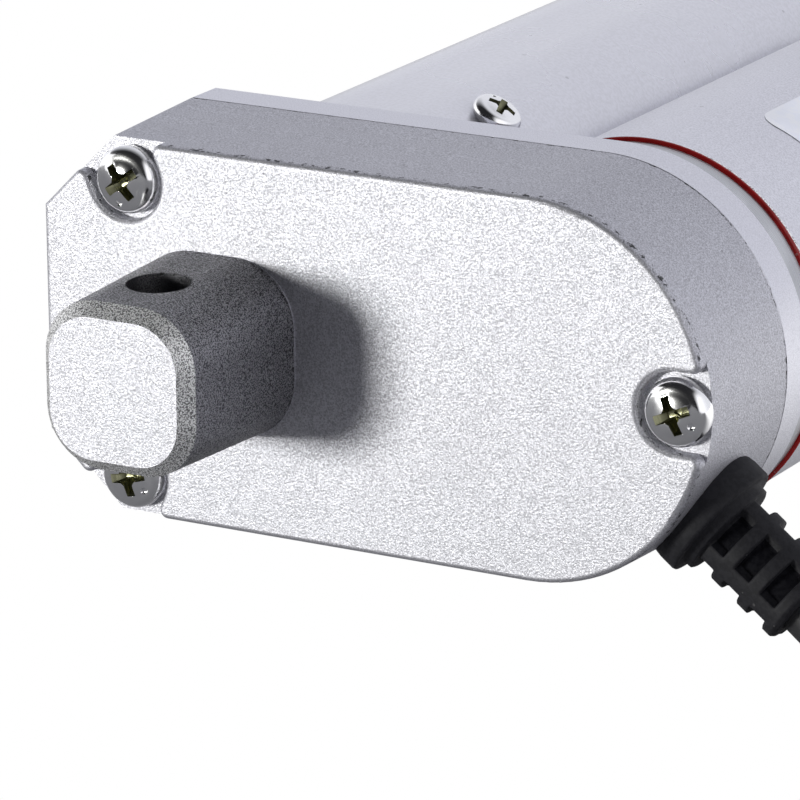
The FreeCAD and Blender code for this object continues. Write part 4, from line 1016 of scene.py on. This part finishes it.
def crossHeadMesh(name, look):
    head = bpy.data.objects.new(name, meshFrom(name, spunShape(headProfile(look), headForm["segments"])))
    scene.collection.objects.link(head)
    giveFinishes(head.data, "bright_screw", "screw_recess_painted_shade")
    # The recess faces take the painted recess shade
    cutters = {
        crossCutter(name + "_bar", look, 0): "screw_recess_painted_shade",
        crossCutter(name + "_bar2", look, math.pi / 2): "screw_recess_painted_shade",
        coneCutter(name + "_cone", look): "screw_recess_painted_shade",
        dimpleCutter(name + "_dot", look): "bright_screw",
    }
    for cutter, finishName in cutters.items():
        giveFinishes(cutter.data, finishName)
        cut = head.modifiers.new("cut", "BOOLEAN")
        cut.operation = "DIFFERENCE"
        cut.solver = "EXACT"
        cut.material_mode = "TRANSFER"
        cut.object = cutter
    edge = head.modifiers.new("edge", "BEVEL")
    edge.width = headForm["edgeMm"] * mm
    edge.segments = headForm["edgeSegments"]
    edge.limit_method = "ANGLE"
    edge.angle_limit = math.radians(headForm["edgeAngle"])
    return finishedMesh(head, cutters)


def drawScrews(name, look):
    source = crossHeadMesh(name + "_one", look)
    bm = bmesh.new()
    for place, crown, turn in look["places"]:
        part = source.copy()
        twist = Matrix.Rotation(math.radians(turn), 4, "Z")
        facing = Vector(crown).to_track_quat("Z", "Y").to_matrix().to_4x4()
        part.transform(Matrix.Translation(Vector(place) * mm) @ facing @ twist)
        bm.from_mesh(part)
        bpy.data.meshes.remove(part)
    mesh = meshFrom(name, bm)
    giveFinishes(mesh, "bright_screw", "screw_recess_painted_shade")
    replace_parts(newPiece(name, mesh), look["node"])


for setName, setLook in screwSets.items():
    drawScrews(setName, setLook)

print("stage: gasket and label plate")
ringSegments = 160
sharpAngle = math.radians(30)
gasketMm = {
    "place": (35.4, 35.22, 0.0), "inner": 18.3, "outer": 19.43, "bulge": 0.22, "rounding": 0.3,
    "thickness": 0.74, "steps": 8,
}


def ringMesh(name, profile, place, finishName):
    # A ring turned about the line through a place along Y
    mesh = meshFrom(name, spunShape(profile, ringSegments))
    mesh.transform(Matrix.Translation(Vector(place) * mm) @ Matrix.Rotation(math.radians(-90), 4, "X"))
    giveFinishes(mesh, finishName)
    return mesh


def drawGasket():
    # A rubber ring whose outer side bulges where it is squeezed
    look = gasketMm
    half, straight = look["thickness"] / 2, look["outer"] - look["rounding"]
    profile = [(look["inner"], -half)]
    for number in range(look["steps"] + 1):
        angle = math.radians(-90 + 180 * number / look["steps"])
        out = straight + (look["rounding"] + look["bulge"]) * math.cos(angle)
        profile.append((out, half * math.sin(angle)))
    profile += [(look["inner"], half), (look["inner"], -half)]
    mesh = ringMesh("gasket_ring", profile, look["place"], "red_gasket")
    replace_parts(newPiece("gasket_ring", mesh), "motor_gasket")


collarMm = {"place": (35.4, 32.3, 0.0), "inner": 18.3, "outer": 19.28, "thickness": 2.55, "edge": 0.12}


def drawCollarRing():
    # The bare metal ring the gasket is squeezed against
    look = collarMm
    edge, far = look["edge"], look["thickness"]
    profile = [
        (look["inner"], 0), (look["outer"] - edge, 0), (look["outer"], edge), (look["outer"], far - edge),
        (look["outer"] - edge, far), (look["inner"], far), (look["inner"], 0),
    ]
    mesh = ringMesh("collar_ring", profile, look["place"], "motor_steel")
    mesh.set_sharp_from_angle(angle=sharpAngle)
    newPiece("collar_ring", mesh)


labelMm = {
    "axisX": 35.4, "tubeRadius": 19.43, "start": 50.2, "length": 56.0, "angle": 76.0, "sweep": 88.0,
    "corner": 2.4, "cornerSteps": 6, "thickness": 0.05, "clear": 0.01, "strips": 44,
}


def drawLabelPlate():
    # A bare film with rounded corners, laid round the motor tube
    look = labelMm
    across = math.radians(look["sweep"]) * look["tubeRadius"]
    bm = bmesh.new()
    bmesh.ops.create_grid(bm, x_segments=1, y_segments=1, size=0.5)
    bmesh.ops.scale(bm, vec=(across, look["length"], 1), verts=bm.verts)
    bmesh.ops.bevel(
        bm, geom=bm.verts[:], offset=look["corner"], segments=look["cornerSteps"], profile=0.5,
        affect="VERTICES", material=-1,
    )
    for number in range(1, look["strips"]):
        cut = across * (number / look["strips"] - 0.5)
        everything = bm.verts[:] + bm.edges[:] + bm.faces[:]
        bmesh.ops.bisect_plane(bm, geom=everything, plane_co=(cut, 0, 0), plane_no=(1, 0, 0))
    radius = look["tubeRadius"] + look["clear"]
    for vert in bm.verts:
        angle = math.radians(look["angle"]) - (vert.co.x + across / 2) / look["tubeRadius"]
        along = look["start"] + look["length"] / 2 + vert.co.y
        vert.co = (look["axisX"] + radius * math.cos(angle), along, radius * math.sin(angle))
    bmesh.ops.scale(bm, vec=(mm, mm, mm), verts=bm.verts)
    bmesh.ops.recalc_face_normals(bm, faces=bm.faces)
    middle = Vector((look["axisX"] * mm, 0, 0))
    outward = Vector((1, 0, 1))
    if sum((face.calc_center_median() - middle).dot(face.normal * outward) for face in bm.faces) < 0:
        bmesh.ops.reverse_faces(bm, faces=bm.faces)
    bmesh.ops.solidify(bm, geom=bm.faces[:], thickness=-look["thickness"] * mm)
    mesh = meshFrom("label_plate", bm)
    mesh.set_sharp_from_angle(angle=sharpAngle)
    giveFinishes(mesh, "label_film")
    newPiece("label_plate", mesh)


drawGasket()
drawCollarRing()
drawLabelPlate()

bpy.context.view_layer.update()
print("stage: finish")
